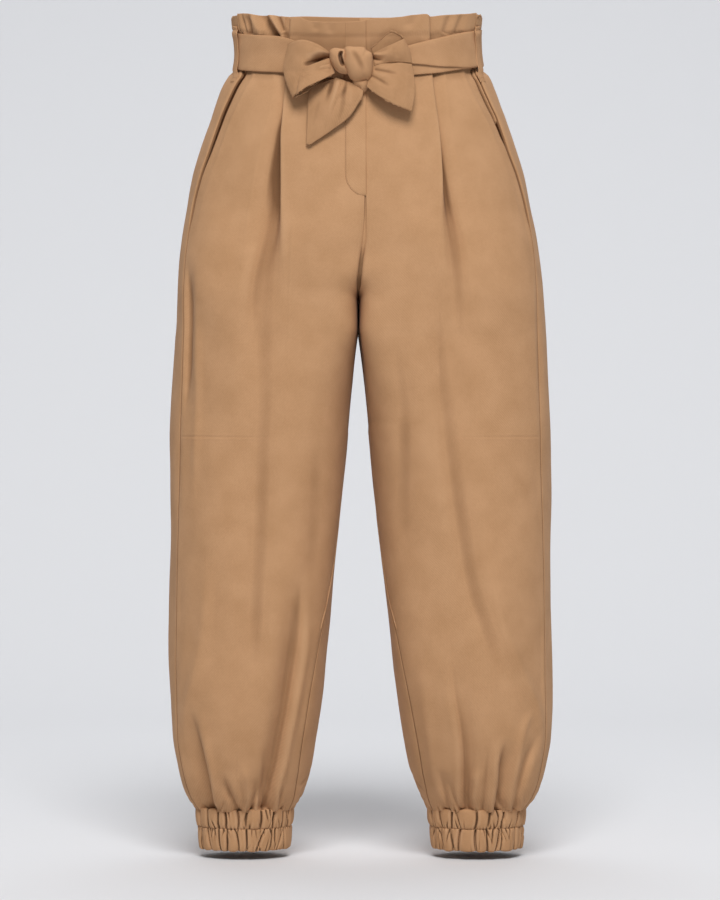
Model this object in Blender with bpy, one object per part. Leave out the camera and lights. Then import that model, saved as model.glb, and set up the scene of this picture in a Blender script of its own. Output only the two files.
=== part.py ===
"""Paper-bag waist joggers with a tied belt, hollow as when they are worn. Metres, +Z up, front towards -Y.

The origin is the middle of the waist, level with the middle of the belt over the front pleats.
Right and left are the wearer's, so right is at -X. Each panel is a cloth wall whose outer face runs
through rings: one ring for each height, from the front seam round the outside to the back seam.
"""

import math
from collections import namedtuple

import bmesh
import bpy
import numpy as np
from mathutils import Vector

RIGHT, LEFT = -1, 1

# Cloth walls and the gaps between pieces
CLOTH = 0.0012
BELT_CLOTH = 0.0016
PLACKET_CLOTH = 0.0010
CUFF_CLOTH = 0.0028
CLEAR = 0.0004
SEAM_GAP = 0.0006
CUFF_SEAM_GAP = 0.0010

# Belt, carriers and cuffs
BELT_HEIGHT = 0.044
BELT_CENTRE = 0.0085
BELT_STAND_OFF = 0.0038
CARRIER_WIDTH = 0.010
CUFF_HEM = -0.9435
CUFF_TOP = -0.8930
CUFF_CENTRE = 0.1378

# Heights where things start and end
WAIST_TOP = 0.0545
LEG_HEM = CUFF_TOP + CLEAR
MOUTH_TOP, MOUTH_BOTTOM = -0.012, -0.215
MOUTH_SET_BACK, MOUTH_LIFT = 0.0026, 0.0022
GATHER_TOP = -0.790

Level = namedtuple("Level", "z outer inner front back split seam lean side_in dip")

# z: height at the sides. outer, inner: half-widths from the centre seam. front, back: half-depths.
# split: 0 where both legs share one ring, 1 where each has its own. seam: x of the centre seam.
# lean: x of the middle of the outline. side_in: how far inside the outline the side seam lies.
# dip: how much lower the front is than the sides.
LEVELS = [
    Level(0.0545, 0.1495, 0.0002, 0.087, 0.091, 0.00, 0.0050, -0.0045, 0.0085, 0.0170),
    Level(0.0380, 0.1485, 0.0002, 0.084, 0.089, 0.00, 0.0050, -0.0045, 0.0090, 0.0170),
    Level(0.0300, 0.1450, 0.0002, 0.082, 0.087, 0.00, 0.0050, -0.0045, 0.0100, 0.0165),
    Level(0.0085, 0.1435, 0.0002, 0.081, 0.086, 0.00, 0.0050, -0.0030, 0.0120, 0.0160),
    Level(-0.0130, 0.1455, 0.0002, 0.082, 0.088, 0.00, 0.0050, -0.0025, 0.0145, 0.0150),
    Level(-0.0220, 0.1545, 0.0002, 0.085, 0.092, 0.00, 0.0050, -0.0020, 0.0150, 0.0140),
    Level(-0.0387, 0.1630, 0.0002, 0.091, 0.099, 0.00, 0.0048, -0.0030, 0.0130, 0.0120),
    Level(-0.0565, 0.1695, 0.0002, 0.096, 0.106, 0.00, 0.0045, -0.0030, 0.0120, 0.0100),
    Level(-0.0740, 0.1755, 0.0002, 0.100, 0.112, 0.00, 0.0043, -0.0025, 0.0125, 0.0080),
    Level(-0.1100, 0.1880, 0.0002, 0.106, 0.121, 0.00, 0.0040, -0.0025, 0.0130, 0.0050),
    Level(-0.1460, 0.1985, 0.0002, 0.110, 0.128, 0.03, 0.0035, -0.0020, 0.0110, 0.0030),
    Level(-0.1820, 0.2050, 0.0002, 0.112, 0.131, 0.12, 0.0030, -0.0015, 0.0085, 0.0015),
    Level(-0.2170, 0.2115, 0.0002, 0.113, 0.131, 0.34, 0.0010, -0.0010, 0.0085, 0.0000),
    Level(-0.2530, 0.2160, 0.0003, 0.112, 0.128, 0.70, -0.0020, -0.0008, 0.0095, 0.0000),
    Level(-0.2895, 0.2190, 0.0006, 0.110, 0.123, 1.00, -0.0030, -0.0005, 0.0110, 0.0000),
    Level(-0.3245, 0.2205, 0.0012, 0.108, 0.119, 1.00, -0.0030, 0.0000, 0.0125, 0.0000),
    Level(-0.3780, 0.2230, 0.0062, 0.106, 0.115, 1.00, -0.0030, 0.0000, 0.0135, 0.0000),
    Level(-0.4670, 0.2262, 0.0148, 0.103, 0.110, 1.00, -0.0030, 0.0000, 0.0143, 0.0000),
    Level(-0.5560, 0.2265, 0.0238, 0.100, 0.106, 1.00, -0.0030, 0.0000, 0.0120, 0.0000),
    Level(-0.6450, 0.2265, 0.0320, 0.097, 0.102, 1.00, -0.0028, 0.0000, 0.0100, 0.0000),
    Level(-0.7170, 0.2270, 0.0390, 0.094, 0.098, 1.00, -0.0025, 0.0000, 0.0095, 0.0000),
    Level(-0.7705, 0.2270, 0.0455, 0.090, 0.093, 1.00, -0.0020, 0.0010, 0.0095, 0.0000),
    Level(-0.8060, 0.2260, 0.0512, 0.085, 0.088, 1.00, -0.0015, 0.0013, 0.0090, 0.0000),
    Level(-0.8420, 0.2205, 0.0580, 0.077, 0.080, 1.00, -0.0010, 0.0013, 0.0085, 0.0000),
    Level(-0.8600, 0.2160, 0.0638, 0.071, 0.074, 1.00, -0.0005, 0.0013, 0.0080, 0.0000),
    Level(-0.8780, 0.2085, 0.0702, 0.063, 0.065, 1.00, 0.0000, 0.0010, 0.0070, 0.0000),
    Level(-0.8926, 0.1980, 0.0780, 0.052, 0.054, 1.00, 0.0000, 0.0005, 0.0060, 0.0000),
]

# Heights of the panels' rows of points
ROWS = [
    WAIST_TOP, 0.042, 0.030, 0.008, -0.015, -0.026, -0.0387, -0.058, -0.085, -0.115, -0.150, -0.182, -0.212,
    -0.236, -0.256, -0.273, -0.2895, -0.3245, -0.378, -0.460, -0.560, -0.660,
    -0.750, -0.790, -0.820, -0.846, -0.866, -0.881, LEG_HEM,
]

Pleat = namedtuple("Pleat", "z edge under spread depth open")

# The front pleat. edge: x of its folded edge from the middle. under: how far the cloth turns back
# below the edge. spread: width of the opened pleat. depth: how deep it lies. open: 0 shut to 1 open.
PLEATS = {
    RIGHT: [
        Pleat(0.052, 0.0830, 0.012, 0.002, 0.0044, 0.00),
        Pleat(-0.030, 0.0870, 0.012, 0.002, 0.0044, 0.00),
        Pleat(-0.070, 0.0910, 0.011, 0.003, 0.0050, 0.10),
        Pleat(-0.110, 0.0940, 0.007, 0.006, 0.0085, 0.45),
        Pleat(-0.160, 0.0950, 0.003, 0.014, 0.0130, 0.85),
        Pleat(-0.230, 0.0965, 0.000, 0.026, 0.0145, 1.00),
        Pleat(-0.330, 0.1020, 0.000, 0.034, 0.0100, 1.00),
        Pleat(-0.450, 0.1080, 0.000, 0.038, 0.0080, 1.00),
        Pleat(-0.600, 0.1170, 0.000, 0.042, 0.0040, 1.00),
        Pleat(-0.720, 0.1220, 0.000, 0.042, 0.0000, 1.00),
    ],
    LEFT: [
        Pleat(0.052, 0.0800, 0.012, 0.002, 0.0044, 0.00),
        Pleat(-0.030, 0.0855, 0.012, 0.002, 0.0044, 0.00),
        Pleat(-0.070, 0.0900, 0.012, 0.002, 0.0046, 0.00),
        Pleat(-0.110, 0.0950, 0.010, 0.003, 0.0062, 0.20),
        Pleat(-0.160, 0.0985, 0.006, 0.007, 0.0090, 0.55),
        Pleat(-0.230, 0.1010, 0.001, 0.014, 0.0105, 0.90),
        Pleat(-0.330, 0.1030, 0.000, 0.026, 0.0070, 1.00),
        Pleat(-0.450, 0.1050, 0.000, 0.036, 0.0050, 1.00),
        Pleat(-0.600, 0.1120, 0.000, 0.042, 0.0020, 1.00),
        Pleat(-0.720, 0.1160, 0.000, 0.042, 0.0000, 1.00),
    ],
}

Station = namedtuple("Station", "back out shut open")

# Points across a pleat. back and out: shares of under and spread, sideways from the folded edge.
# shut and open: shares of the pleat's depth when it is shut and when it has opened.
STATIONS = [
    Station(0.00, 0.00, 0.00, 0.00),
    Station(-0.04, 0.12, 0.82, 0.40),
    Station(-1.00, 0.30, 0.82, 0.92),
    Station(-1.00, 0.48, 1.00, 1.00),
    Station(0.00, 0.78, 1.02, 0.60),
]
PLEAT_SHOULDER = 0.013
MEDIAL_COLUMNS, OUTER_COLUMNS = 5, 6
BACK_COLUMNS = 10
EVEN_FROM, EVEN_TO = -0.64, -0.80

Fold = namedtuple("Fold", "side z_top x_top z_bottom x_bottom width depth")

# The long soft troughs on the fronts of the legs, as straight lines seen from the front
FOLDS = [
    Fold(LEFT, -0.330, 0.093, -0.780, 0.182, 0.016, 0.0060),
    Fold(RIGHT, -0.600, -0.070, -0.880, -0.110, 0.012, 0.0060),
    Fold(RIGHT, -0.560, -0.212, -0.880, -0.178, 0.014, 0.0050),
    Fold(LEFT, -0.600, 0.085, -0.880, 0.104, 0.012, 0.0050),
]
GATHER_DEPTH = 0.0045
FRILL_DEPTH = 0.0050

KNOT_PINCH, KNOT_DROP = 0.35, 0.014
BeltRow = namedtuple("BeltRow", "z raised")

# raised: how far the upper layer of the belt's long crease stands out on the left front
BELT_ROWS = [
    BeltRow(BELT_HEIGHT / 2, 0.0010),
    BeltRow(0.0050, 0.0012),
    BeltRow(-0.0080, 0.0014),
    BeltRow(-0.0095, 0.0001),
    BeltRow(-BELT_HEIGHT / 2, 0.0001),
]

Cuff = namedtuple("Cuff", "z width depth")

# Half-width and half-depth of the cuff: two puffed channels with a stitched line between them
CUFF_ROWS = [
    Cuff(CUFF_TOP, 0.0575, 0.0500),
    Cuff(-0.9000, 0.0590, 0.0515),
    Cuff(-0.9100, 0.0580, 0.0505),
    Cuff(-0.9172, 0.0555, 0.0480),
    Cuff(-0.9240, 0.0572, 0.0497),
    Cuff(-0.9350, 0.0560, 0.0486),
    Cuff(CUFF_HEM, 0.0520, 0.0446),
]
CUFF_COLUMNS = 32
CUFF_RIB = 0.0015

# The bow, as seen from the front: places are measured from the middle of the knot
KNOT = Vector((-0.0098, 0.0, -0.0214))
Lump = namedtuple("Lump", "x height depth z")
KNOT_ROWS = [
    Lump(-0.0245, 0.0080, 0.0050, 0.0040),
    Lump(-0.0200, 0.0140, 0.0090, 0.0040),
    Lump(-0.0120, 0.0155, 0.0105, 0.0045),
    Lump(-0.0060, 0.0140, 0.0090, 0.0030),
    Lump(0.0020, 0.0180, 0.0115, 0.0010),
    Lump(0.0120, 0.0200, 0.0120, 0.0000),
    Lump(0.0190, 0.0165, 0.0100, 0.0010),
    Lump(0.0232, 0.0090, 0.0060, 0.0020),
]
KNOT_SIDES = 14

Span = namedtuple("Span", "x_top z_top lift_top x_low z_low lift_low swing bulge dent")

# Each row is one line across the tied cloth, from its top edge to its lower edge.
# lift: how far it stands in front of the trousers. swing: how far its middle bends sideways.
# bulge: how far its middle swells forwards. dent: depth of the crease that runs out of the knot.
BOW_RIGHT = [
    Span(-0.0262, 0.0145, 0.0170, -0.0245, -0.0120, 0.0170, 0.0000, 0.0040, 0.0070),
    Span(-0.0400, 0.0235, 0.0210, -0.0400, -0.0205, 0.0230, 0.0000, 0.0060, 0.0060),
    Span(-0.0550, 0.0288, 0.0220, -0.0545, -0.0265, 0.0260, 0.0000, 0.0050, 0.0035),
    Span(-0.0660, 0.0285, 0.0200, -0.0635, -0.0340, 0.0240, -0.0040, 0.0030, 0.0010),
    Span(-0.0742, 0.0258, 0.0150, -0.0690, -0.0385, 0.0180, -0.0080, 0.0015, 0.0000),
    Span(-0.0715, 0.0245, 0.0095, -0.0665, -0.0390, 0.0125, -0.0070, 0.0000, 0.0000),
    Span(-0.0600, 0.0240, 0.0068, -0.0545, -0.0330, 0.0105, -0.0030, 0.0000, 0.0000),
    Span(-0.0430, 0.0200, 0.0064, -0.0400, -0.0215, 0.0080, 0.0000, 0.0000, 0.0000),
    Span(-0.0275, 0.0125, 0.0080, -0.0265, -0.0085, 0.0080, 0.0000, 0.0000, 0.0000),
]
BOW_LEFT = [
    Span(0.0249, 0.0130, 0.0170, 0.0255, -0.0020, 0.0175, 0.0000, -0.0010, 0.0000),
    Span(0.0370, 0.0188, 0.0205, 0.0380, 0.0012, 0.0190, 0.0000, 0.0030, 0.0000),
    Span(0.0480, 0.0240, 0.0200, 0.0500, 0.0025, 0.0185, 0.0010, 0.0040, 0.0000),
    Span(0.0570, 0.0285, 0.0165, 0.0630, 0.0025, 0.0165, 0.0020, 0.0025, 0.0000),
    Span(0.0595, 0.0315, 0.0125, 0.0698, 0.0018, 0.0140, 0.0025, 0.0010, 0.0000),
    Span(0.0570, 0.0335, 0.0085, 0.0660, 0.0015, 0.0100, 0.0020, 0.0000, 0.0000),
    Span(0.0445, 0.0385, 0.0062, 0.0520, 0.0030, 0.0078, 0.0000, 0.0000, 0.0000),
    Span(0.0330, 0.0300, 0.0062, 0.0380, 0.0030, 0.0072, 0.0000, 0.0000, 0.0000),
    Span(0.0215, 0.0195, 0.0085, 0.0275, 0.0020, 0.0085, 0.0000, 0.0000, 0.0000),
]
TIE_RIGHT = [
    Span(-0.0190, -0.0150, 0.0105, 0.0125, -0.0262, 0.0105, 0.0000, 0.0010, 0.0000),
    Span(-0.0440, -0.0240, 0.0064, 0.0125, -0.0365, 0.0110, 0.0000, 0.0040, 0.0000),
    Span(-0.0509, -0.0350, 0.0060, 0.0064, -0.0480, 0.0105, 0.0000, 0.0045, 0.0000),
    Span(-0.0520, -0.0530, 0.0060, -0.0040, -0.0630, 0.0090, 0.0000, 0.0035, 0.0000),
    Span(-0.0526, -0.0740, 0.0055, -0.0237, -0.0780, 0.0070, 0.0000, 0.0020, 0.0000),
    Span(-0.0532, -0.0935, 0.0050, -0.0490, -0.0945, 0.0055, 0.0000, 0.0000, 0.0000),
]
TIE_LEFT = [
    Span(0.0268, -0.0065, 0.0130, 0.0168, -0.0285, 0.0110, 0.0000, 0.0010, 0.0000),
    Span(0.0380, -0.0030, 0.0140, 0.0295, -0.0390, 0.0120, 0.0000, 0.0050, 0.0000),
    Span(0.0520, -0.0015, 0.0140, 0.0480, -0.0495, 0.0120, 0.0005, 0.0050, 0.0000),
    Span(0.0640, -0.0015, 0.0125, 0.0595, -0.0540, 0.0110, 0.0020, 0.0030, 0.0000),
    Span(0.0700, -0.0025, 0.0110, 0.0688, -0.0575, 0.0100, 0.0040, 0.0010, 0.0000),
]
DENT_AT, DENT_WIDTH = 0.36, 0.14
SPAN_POINTS = 7

# The fly's overlap
PLACKET_LEFT_X, PLACKET_RIGHT_X = 0.0065, -0.0180
PLACKET_BOTTOM = -0.1700
PLACKET_CORNER = 0.0260

CAMEL = (0.52, 0.29, 0.155, 1.0)
CAMEL_IN_FOLDS = (0.45, 0.25, 0.130, 1.0)
RING_STEPS = 181


def clear_scene():
    """Empties the scene."""
    for obj in list(bpy.data.objects):
        bpy.data.objects.remove(obj, do_unlink=True)


def cloth_material(name, colour, roughness):
    """A matt woven cloth."""
    material = bpy.data.materials.new(name)
    material.use_nodes = True
    shader = material.node_tree.nodes["Principled BSDF"]
    shader.inputs["Base Color"].default_value = colour
    shader.inputs["Roughness"].default_value = roughness
    return material


def slopes(heights, values):
    """Slopes that make a cubic through the values keep to their rises and falls."""
    steps = np.diff(heights)
    rises = np.diff(values, axis=0) / steps[:, None]
    made = np.zeros_like(values)
    made[0], made[-1] = rises[0], rises[-1]
    before, after = rises[:-1], rises[1:]
    same = before * after > 0
    made[1:-1][same] = 2 * before[same] * after[same] / (before[same] + after[same])
    return made


def read_table(rows, z):
    """One row of the table, worked out smoothly at height z. The rows go downwards."""
    table = np.array(rows)
    heights, values = -table[:, 0], table[:, 1:]
    at = min(max(-z, heights[0]), heights[-1])
    i = min(int(np.searchsorted(heights, at, side="right")) - 1, len(rows) - 2)
    step = heights[i + 1] - heights[i]
    t = (at - heights[i]) / step
    slope = slopes(heights, values) * step
    made = (
        values[i] * (1 + 2 * t) * (1 - t) ** 2
        + slope[i] * t * (1 - t) ** 2
        + values[i + 1] * t * t * (3 - 2 * t)
        + slope[i + 1] * t * t * (t - 1)
    )
    return type(rows[0])(z, *made)


def ramp(value, start, end):
    """0 before start, 1 after end, smooth between."""
    t = min(max((value - start) / (end - start), 0.0), 1.0)
    return t * t * (3 - 2 * t)


class Ring:
    """One half of the garment at one height, from the front seam round the outside to the back seam."""

    def __init__(self, side, z):
        self.side, self.z = side, z
        self.level = level = read_table(LEVELS, z)
        self.half = (level.outer - level.inner) / (1 + level.split)
        self.centre = level.inner + level.split * self.half
        lead = math.asin(min(level.split, 1.0))
        angle = np.linspace(-lead, math.pi + lead, RING_STEPS)
        across = self.centre + self.half * np.sin(angle)
        forward = np.cos(angle)
        deep = np.where(forward > 0, level.front, level.back)
        x = level.seam + side * across + (level.lean - level.seam) * across / level.outer
        y = -deep * forward
        self.points = np.stack([x, y, z - level.dip * np.maximum(forward, 0)], axis=1)
        run = np.gradient(self.points[:, :2], axis=0)
        out = np.stack([side * run[:, 1], -side * run[:, 0]], axis=1)
        self.out = out / np.linalg.norm(out, axis=1)[:, None]
        steps = np.linalg.norm(np.diff(self.points[:, :2], axis=0), axis=1)
        self.along = np.concatenate([[0.0], np.cumsum(steps)])
        seam_angle = math.asin((self.half - level.side_in) / self.half)
        self.side_seam = float(np.interp(seam_angle, angle, self.along))
        self.total = float(self.along[-1])

    def at(self, s, push=0.0):
        """The point at arc length s from the front seam, moved outwards by push."""
        point = [float(np.interp(s, self.along, self.points[:, k])) for k in range(3)]
        out = [float(np.interp(s, self.along, self.out[:, k])) for k in range(2)]
        return Vector((point[0] + push * out[0], point[1] + push * out[1], point[2]))

    def s_at_x(self, x):
        """Arc length of the place on the front whose x is given."""
        front = self.along < self.side_seam
        reach = self.side * self.points[front, 0]
        return float(np.interp(self.side * x, reach, self.along[front]))


def seam_trim(z):
    """How far each panel stops short of a seam: more where the leg is drawn in."""
    return (SEAM_GAP + (CUFF_SEAM_GAP - SEAM_GAP) * ramp(-z, 0.75, 0.82)) / 2


class Skin:
    """The outer face of one half as built: the rows of its front and back panels, end to end."""

    def __init__(self, side, front, back):
        self.side = side
        self.rows = [
            (z, np.array([s for s, _ in first + second]), np.array([p for _, p in first + second]))
            for z, first, second in zip(ROWS, front, back)
        ]

    def at(self, z, s, push=0.0):
        """The place on the skin in ring height z, at arc length s from the front seam."""
        i = max(k for k, row in enumerate(self.rows[:-1]) if row[0] >= z or k == 0)
        (upper, *above), (lower, *below) = self.rows[i], self.rows[i + 1]
        ends = []
        for spots, points in (above, below):
            ends.append(Vector([float(np.interp(s, spots, points[:, k])) for k in range(3)]))
        point = ends[0].lerp(ends[1], (upper - z) / (upper - lower))
        ring = Ring(self.side, z)
        out = [float(np.interp(s, ring.along, ring.out[:, k])) for k in range(2)]
        return point + push * Vector((out[0], out[1], 0.0))


def front_point(x, z, push):
    """The place on the fronts at x and at true height z, moved outwards by push."""
    height = z
    for _ in range(4):
        side = LEFT if x > read_table(LEVELS, height).seam else RIGHT
        ring = Ring(side, height)
        point = ring.at(ring.s_at_x(x), push)
        height += z - point.z
    return point


def sheet_object(name, rows, wall, material, towards_out=True, closed=False):
    """A cloth wall whose outer face runs through rows of points.

    rows is a list of rows, each a list of Vectors. closed joins each row's last point to its first.
    """
    columns = len(rows[0]) + (1 if closed else 0)
    bm = bmesh.new()
    made = bmesh.ops.create_grid(bm, x_segments=columns - 1, y_segments=len(rows) - 1, size=1.0)
    bm.verts.index_update()
    for index, vert in enumerate(made["verts"]):
        row = rows[index // columns]
        vert.co = row[(index % columns) % len(row)]
    if closed:
        bmesh.ops.remove_doubles(bm, verts=bm.verts, dist=1e-6)
    if not towards_out:
        bmesh.ops.reverse_faces(bm, faces=bm.faces)
    obj = mesh_object(name, bm, material)
    solidify = obj.modifiers.new("wall", "SOLIDIFY")
    solidify.thickness = wall
    solidify.offset = -1.0
    solidify.use_rim = True
    return obj


def mesh_object(name, bm, material):
    """Turns a bmesh into a named, smooth-shaded object."""
    mesh = bpy.data.meshes.new(name)
    bm.to_mesh(mesh)
    bm.free()
    mesh.materials.append(material)
    mesh.shade_smooth()
    mesh.set_sharp_from_angle(angle=math.radians(50))
    obj = bpy.data.objects.new(name, mesh)
    bpy.context.scene.collection.objects.link(obj)
    return obj


def gather(index, z):
    """Every second point is drawn in above the cuff."""
    if index % 2 == 0:
        return 0.0
    return -GATHER_DEPTH * ramp(-z, -GATHER_TOP, 0.866) * (1 - 0.6 * ramp(-z, 0.878, 0.8926))


def frill(index, z):
    """Every second point is drawn in above the belt."""
    return -FRILL_DEPTH * ramp(z, 0.020, 0.050) if index % 2 else 0.0


def mouth_share(z):
    """1 along the pocket's mouth, fading to 0 at its ends."""
    return ramp(z, MOUTH_BOTTOM, MOUTH_BOTTOM + 0.03) * (1 - ramp(z, MOUTH_TOP - 0.012, MOUTH_TOP + 0.004))


def long_folds(side, x, z):
    """The push of the long troughs at a place on the front."""
    push = 0.0
    for fold in FOLDS:
        if fold.side != side:
            continue
        share = (fold.z_top - z) / (fold.z_top - fold.z_bottom)
        if not 0 < share < 1:
            continue
        line = fold.x_top + share * (fold.x_bottom - fold.x_top)
        fade = ramp(share, 0.0, 0.3) * (1 - ramp(share, 0.85, 1.0))
        push -= fold.depth * fade * math.exp(-(((x - line) / fold.width) ** 2))
    return push


def front_columns(ring, end):
    """Arc length and push of each point of one front's row."""
    pleat = read_table(PLEATS[ring.side], ring.z)
    edge = ring.s_at_x(ring.side * pleat.edge)
    start = seam_trim(ring.z)
    medial = np.linspace(start, edge - PLEAT_SHOULDER, MEDIAL_COLUMNS)
    columns = [(float(s), 0.0) for s in medial]
    for station in STATIONS:
        shut = station.back * pleat.under
        opened = station.out * pleat.spread
        depth = pleat.depth * (station.shut + (station.open - station.shut) * pleat.open)
        columns.append((edge + shut + opened, -depth))
    shoulder = edge + pleat.spread + PLEAT_SHOULDER
    columns.append((shoulder, -0.15 * pleat.depth))
    for s in np.linspace(shoulder, end, OUTER_COLUMNS)[1:]:
        columns.append((float(s), 0.0))
    even = ramp(-ring.z, -EVEN_FROM, -EVEN_TO)
    spaced = np.linspace(start, end, len(columns))
    return [(s + (float(e) - s) * even, push) for (s, push), e in zip(columns, spaced)]


def front_rows(side):
    """A front's rows as (arc length, point): centre seam or inseam to side seam, with its pleat."""
    rows = []
    for z in ROWS:
        ring = Ring(side, z)
        mouth = mouth_share(z)
        end = ring.side_seam - seam_trim(z) - MOUTH_SET_BACK * mouth
        columns = front_columns(ring, end)
        row = []
        for i, (s, push) in enumerate(columns):
            push += long_folds(side, ring.at(s).x, z)
            if 0 < i < len(columns) - 1:
                push += gather(i, z)
                if i >= MEDIAL_COLUMNS + len(STATIONS):
                    push += frill(i, z)
            if i == len(columns) - 1:
                push += MOUTH_LIFT * mouth
            row.append((s, ring.at(s, push)))
        rows.append(row)
    return rows


def back_rows(side):
    """A back's rows as (arc length, point): side seam to centre seam or inseam."""
    rows = []
    for z in ROWS:
        ring = Ring(side, z)
        trim = seam_trim(z)
        row = []
        for i, s in enumerate(np.linspace(ring.side_seam + trim, ring.total - trim, BACK_COLUMNS)):
            push = 0.0
            if 0 < i < BACK_COLUMNS - 1:
                push = gather(i, z) + frill(i, z)
            row.append((float(s), ring.at(float(s), push)))
        rows.append(row)
    return rows


def panel(side, name, rows, material):
    """A panel's cloth wall through its rows."""
    points = [[point for _, point in row] for row in rows]
    return sheet_object(name, points, CLOTH, material, towards_out=side == RIGHT)


def pocket_facing(skin, name, material):
    """The strip behind the pocket's mouth, inside both panels."""
    push = -(CLOTH + CLEAR + 0.0008)
    rows = []
    for z in [row_z for row_z in ROWS if MOUTH_BOTTOM - 0.02 < row_z < MOUTH_TOP]:
        seam = Ring(skin.side, z).side_seam
        front = skin.at(z, seam - 0.013, push - MOUTH_LIFT * 0.6 * mouth_share(z))
        rows.append([front, skin.at(z, seam + 0.0008, push), skin.at(z, seam + 0.010, push)])
    return sheet_object(name, rows, PLACKET_CLOTH, material, towards_out=skin.side == RIGHT)


def fly_placket(skins, name, material):
    """The fly's overlap on the right front, with its rounded lower corner."""
    rows = []
    heights = [WAIST_TOP - 0.0005] + [z for z in ROWS if PLACKET_BOTTOM < z < WAIST_TOP]
    heights += [PLACKET_BOTTOM + share * PLACKET_CORNER for share in (0.5, 0.25, 0.08, 0.0)]
    for z in heights:
        reach = min(max((z - PLACKET_BOTTOM) / PLACKET_CORNER, 0.0), 1.0)
        curve = math.sqrt(1 - (1 - reach) ** 2)
        width = (PLACKET_LEFT_X - PLACKET_RIGHT_X) * (0.12 + 0.88 * curve)
        row = []
        for share in (0.0, 0.5, 1.0):
            x = PLACKET_LEFT_X - width * share
            skin = skins[LEFT if x > read_table(LEVELS, z).seam else RIGHT]
            s = Ring(skin.side, z).s_at_x(x)
            row.append(skin.at(z, s, CLEAR + PLACKET_CLOTH + 0.0002))
        rows.append(row)
    return sheet_object(name, rows, PLACKET_CLOTH, material, towards_out=True)


def belt_point(side, s, row):
    """A place on the belt. It narrows and drops where it goes into the knot."""
    level = Ring(side, BELT_CENTRE)
    pinch = 1 - ramp(abs(level.at(s).x - KNOT.x), 0.015, 0.090) if s < level.side_seam else 0.0
    ring = Ring(side, BELT_CENTRE + row.z * (1 - KNOT_PINCH * pinch) - KNOT_DROP * pinch)
    raised = row.raised * ramp(ring.side_seam - s, 0.010, 0.045) if side == LEFT else 0.0
    return ring.at(s, BELT_STAND_OFF + raised)


def belt_band(name, material):
    """The belt round the waist, open behind the knot, with a long crease on the left front."""
    total = Ring(RIGHT, 0.0).total
    rows = []
    for row in BELT_ROWS:
        points = [belt_point(RIGHT, float(s), row) for s in np.linspace(0.0245, total, 18)]
        points += [belt_point(LEFT, float(s), row) for s in np.linspace(total, 0.0025, 20)[1:]]
        rows.append(points)
    return sheet_object(name, rows, BELT_CLOTH, material, towards_out=True)


def belt_carrier(skin, name, material):
    """A carrier: a short strap sewn over the belt at the side seam, turned a little to the front."""
    over = BELT_STAND_OFF + CLEAR + CLOTH + 0.0007
    flat = CLEAR + CLOTH + 0.0009
    half = BELT_HEIGHT / 2
    rows = []
    for height, push in (
        (half + 0.0075, flat), (half + 0.0035, flat + 0.0012), (half + 0.0012, over + 0.0006),
        (half - 0.0100, over), (0.0000, over), (0.0100 - half, over), (-half - 0.0012, over + 0.0006),
        (-half - 0.0040, flat + 0.0022), (-half - 0.0130, flat + 0.0006),
    ):
        z = BELT_CENTRE + height
        start = Ring(skin.side, z).side_seam - 0.002
        row = []
        for s in (start, start + CARRIER_WIDTH):
            if abs(height) > half + 0.002:
                row.append(skin.at(z, s, push))
            else:
                row.append(Ring(skin.side, z).at(s, push))
        rows.append(row)
    return sheet_object(name, rows, CLOTH, material, towards_out=skin.side == RIGHT)


def cuff(side, name, material):
    """An elastic cuff: a gathered tube with a stitched line round its middle."""
    rows = []
    for cuff_row in CUFF_ROWS:
        row = []
        for i in range(CUFF_COLUMNS):
            angle = 2 * math.pi * i / CUFF_COLUMNS
            rib = CUFF_RIB * (1 if i % 2 else -1) * (1 + 0.3 * math.sin(2.3 * i + 4 * cuff_row.z))
            x = side * CUFF_CENTRE + (cuff_row.width + rib) * math.sin(angle)
            y = -(cuff_row.depth + rib) * math.cos(angle)
            row.append(Vector((x, y, cuff_row.z)))
        rows.append(row)
    return sheet_object(name, rows, CUFF_CLOTH, material, towards_out=False, closed=True)


def tied_cloth(name, spans, material, towards_out):
    """A length of the tied belt through spans, each a line across it."""
    rows = []
    for share in np.linspace(0, 1, SPAN_POINTS):
        row = []
        for span in spans:
            arch = math.sin(math.pi * share)
            x = span.x_top + (span.x_low - span.x_top) * share + span.swing * arch
            z = span.z_top + (span.z_low - span.z_top) * share
            swell = span.bulge * arch
            swell -= span.dent * math.exp(-(((share - DENT_AT) / DENT_WIDTH) ** 2))
            lift = span.lift_top + (span.lift_low - span.lift_top) * share + swell
            point = front_point(KNOT.x + x, KNOT.z + z, 0.0)
            row.append(Vector((KNOT.x + x, point.y - lift, KNOT.z + z)))
        rows.append(row)
    return sheet_object(name, rows, BELT_CLOTH, material, towards_out)


def bow_knot(name, material):
    """The knot: one rounded solid for its wrapped layers."""
    back = front_point(KNOT.x, KNOT.z, BELT_STAND_OFF + 0.0028).y
    bm = bmesh.new()
    loops = []
    for lump in KNOT_ROWS:
        loop = []
        for i in range(KNOT_SIDES):
            angle = 2 * math.pi * i / KNOT_SIDES
            y = back - lump.depth + lump.depth * math.sin(angle)
            z = KNOT.z + lump.z + lump.height * math.cos(angle)
            loop.append(bm.verts.new((KNOT.x + lump.x, y, z)))
        loops.append(loop)
    for first, second in zip(loops, loops[1:]):
        for i in range(KNOT_SIDES):
            j = (i + 1) % KNOT_SIDES
            bm.faces.new((first[i], first[j], second[j], second[i]))
    bm.faces.new(loops[0])
    bm.faces.new(loops[-1])
    bmesh.ops.recalc_face_normals(bm, faces=bm.faces)
    return mesh_object(name, bm, material)


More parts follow.
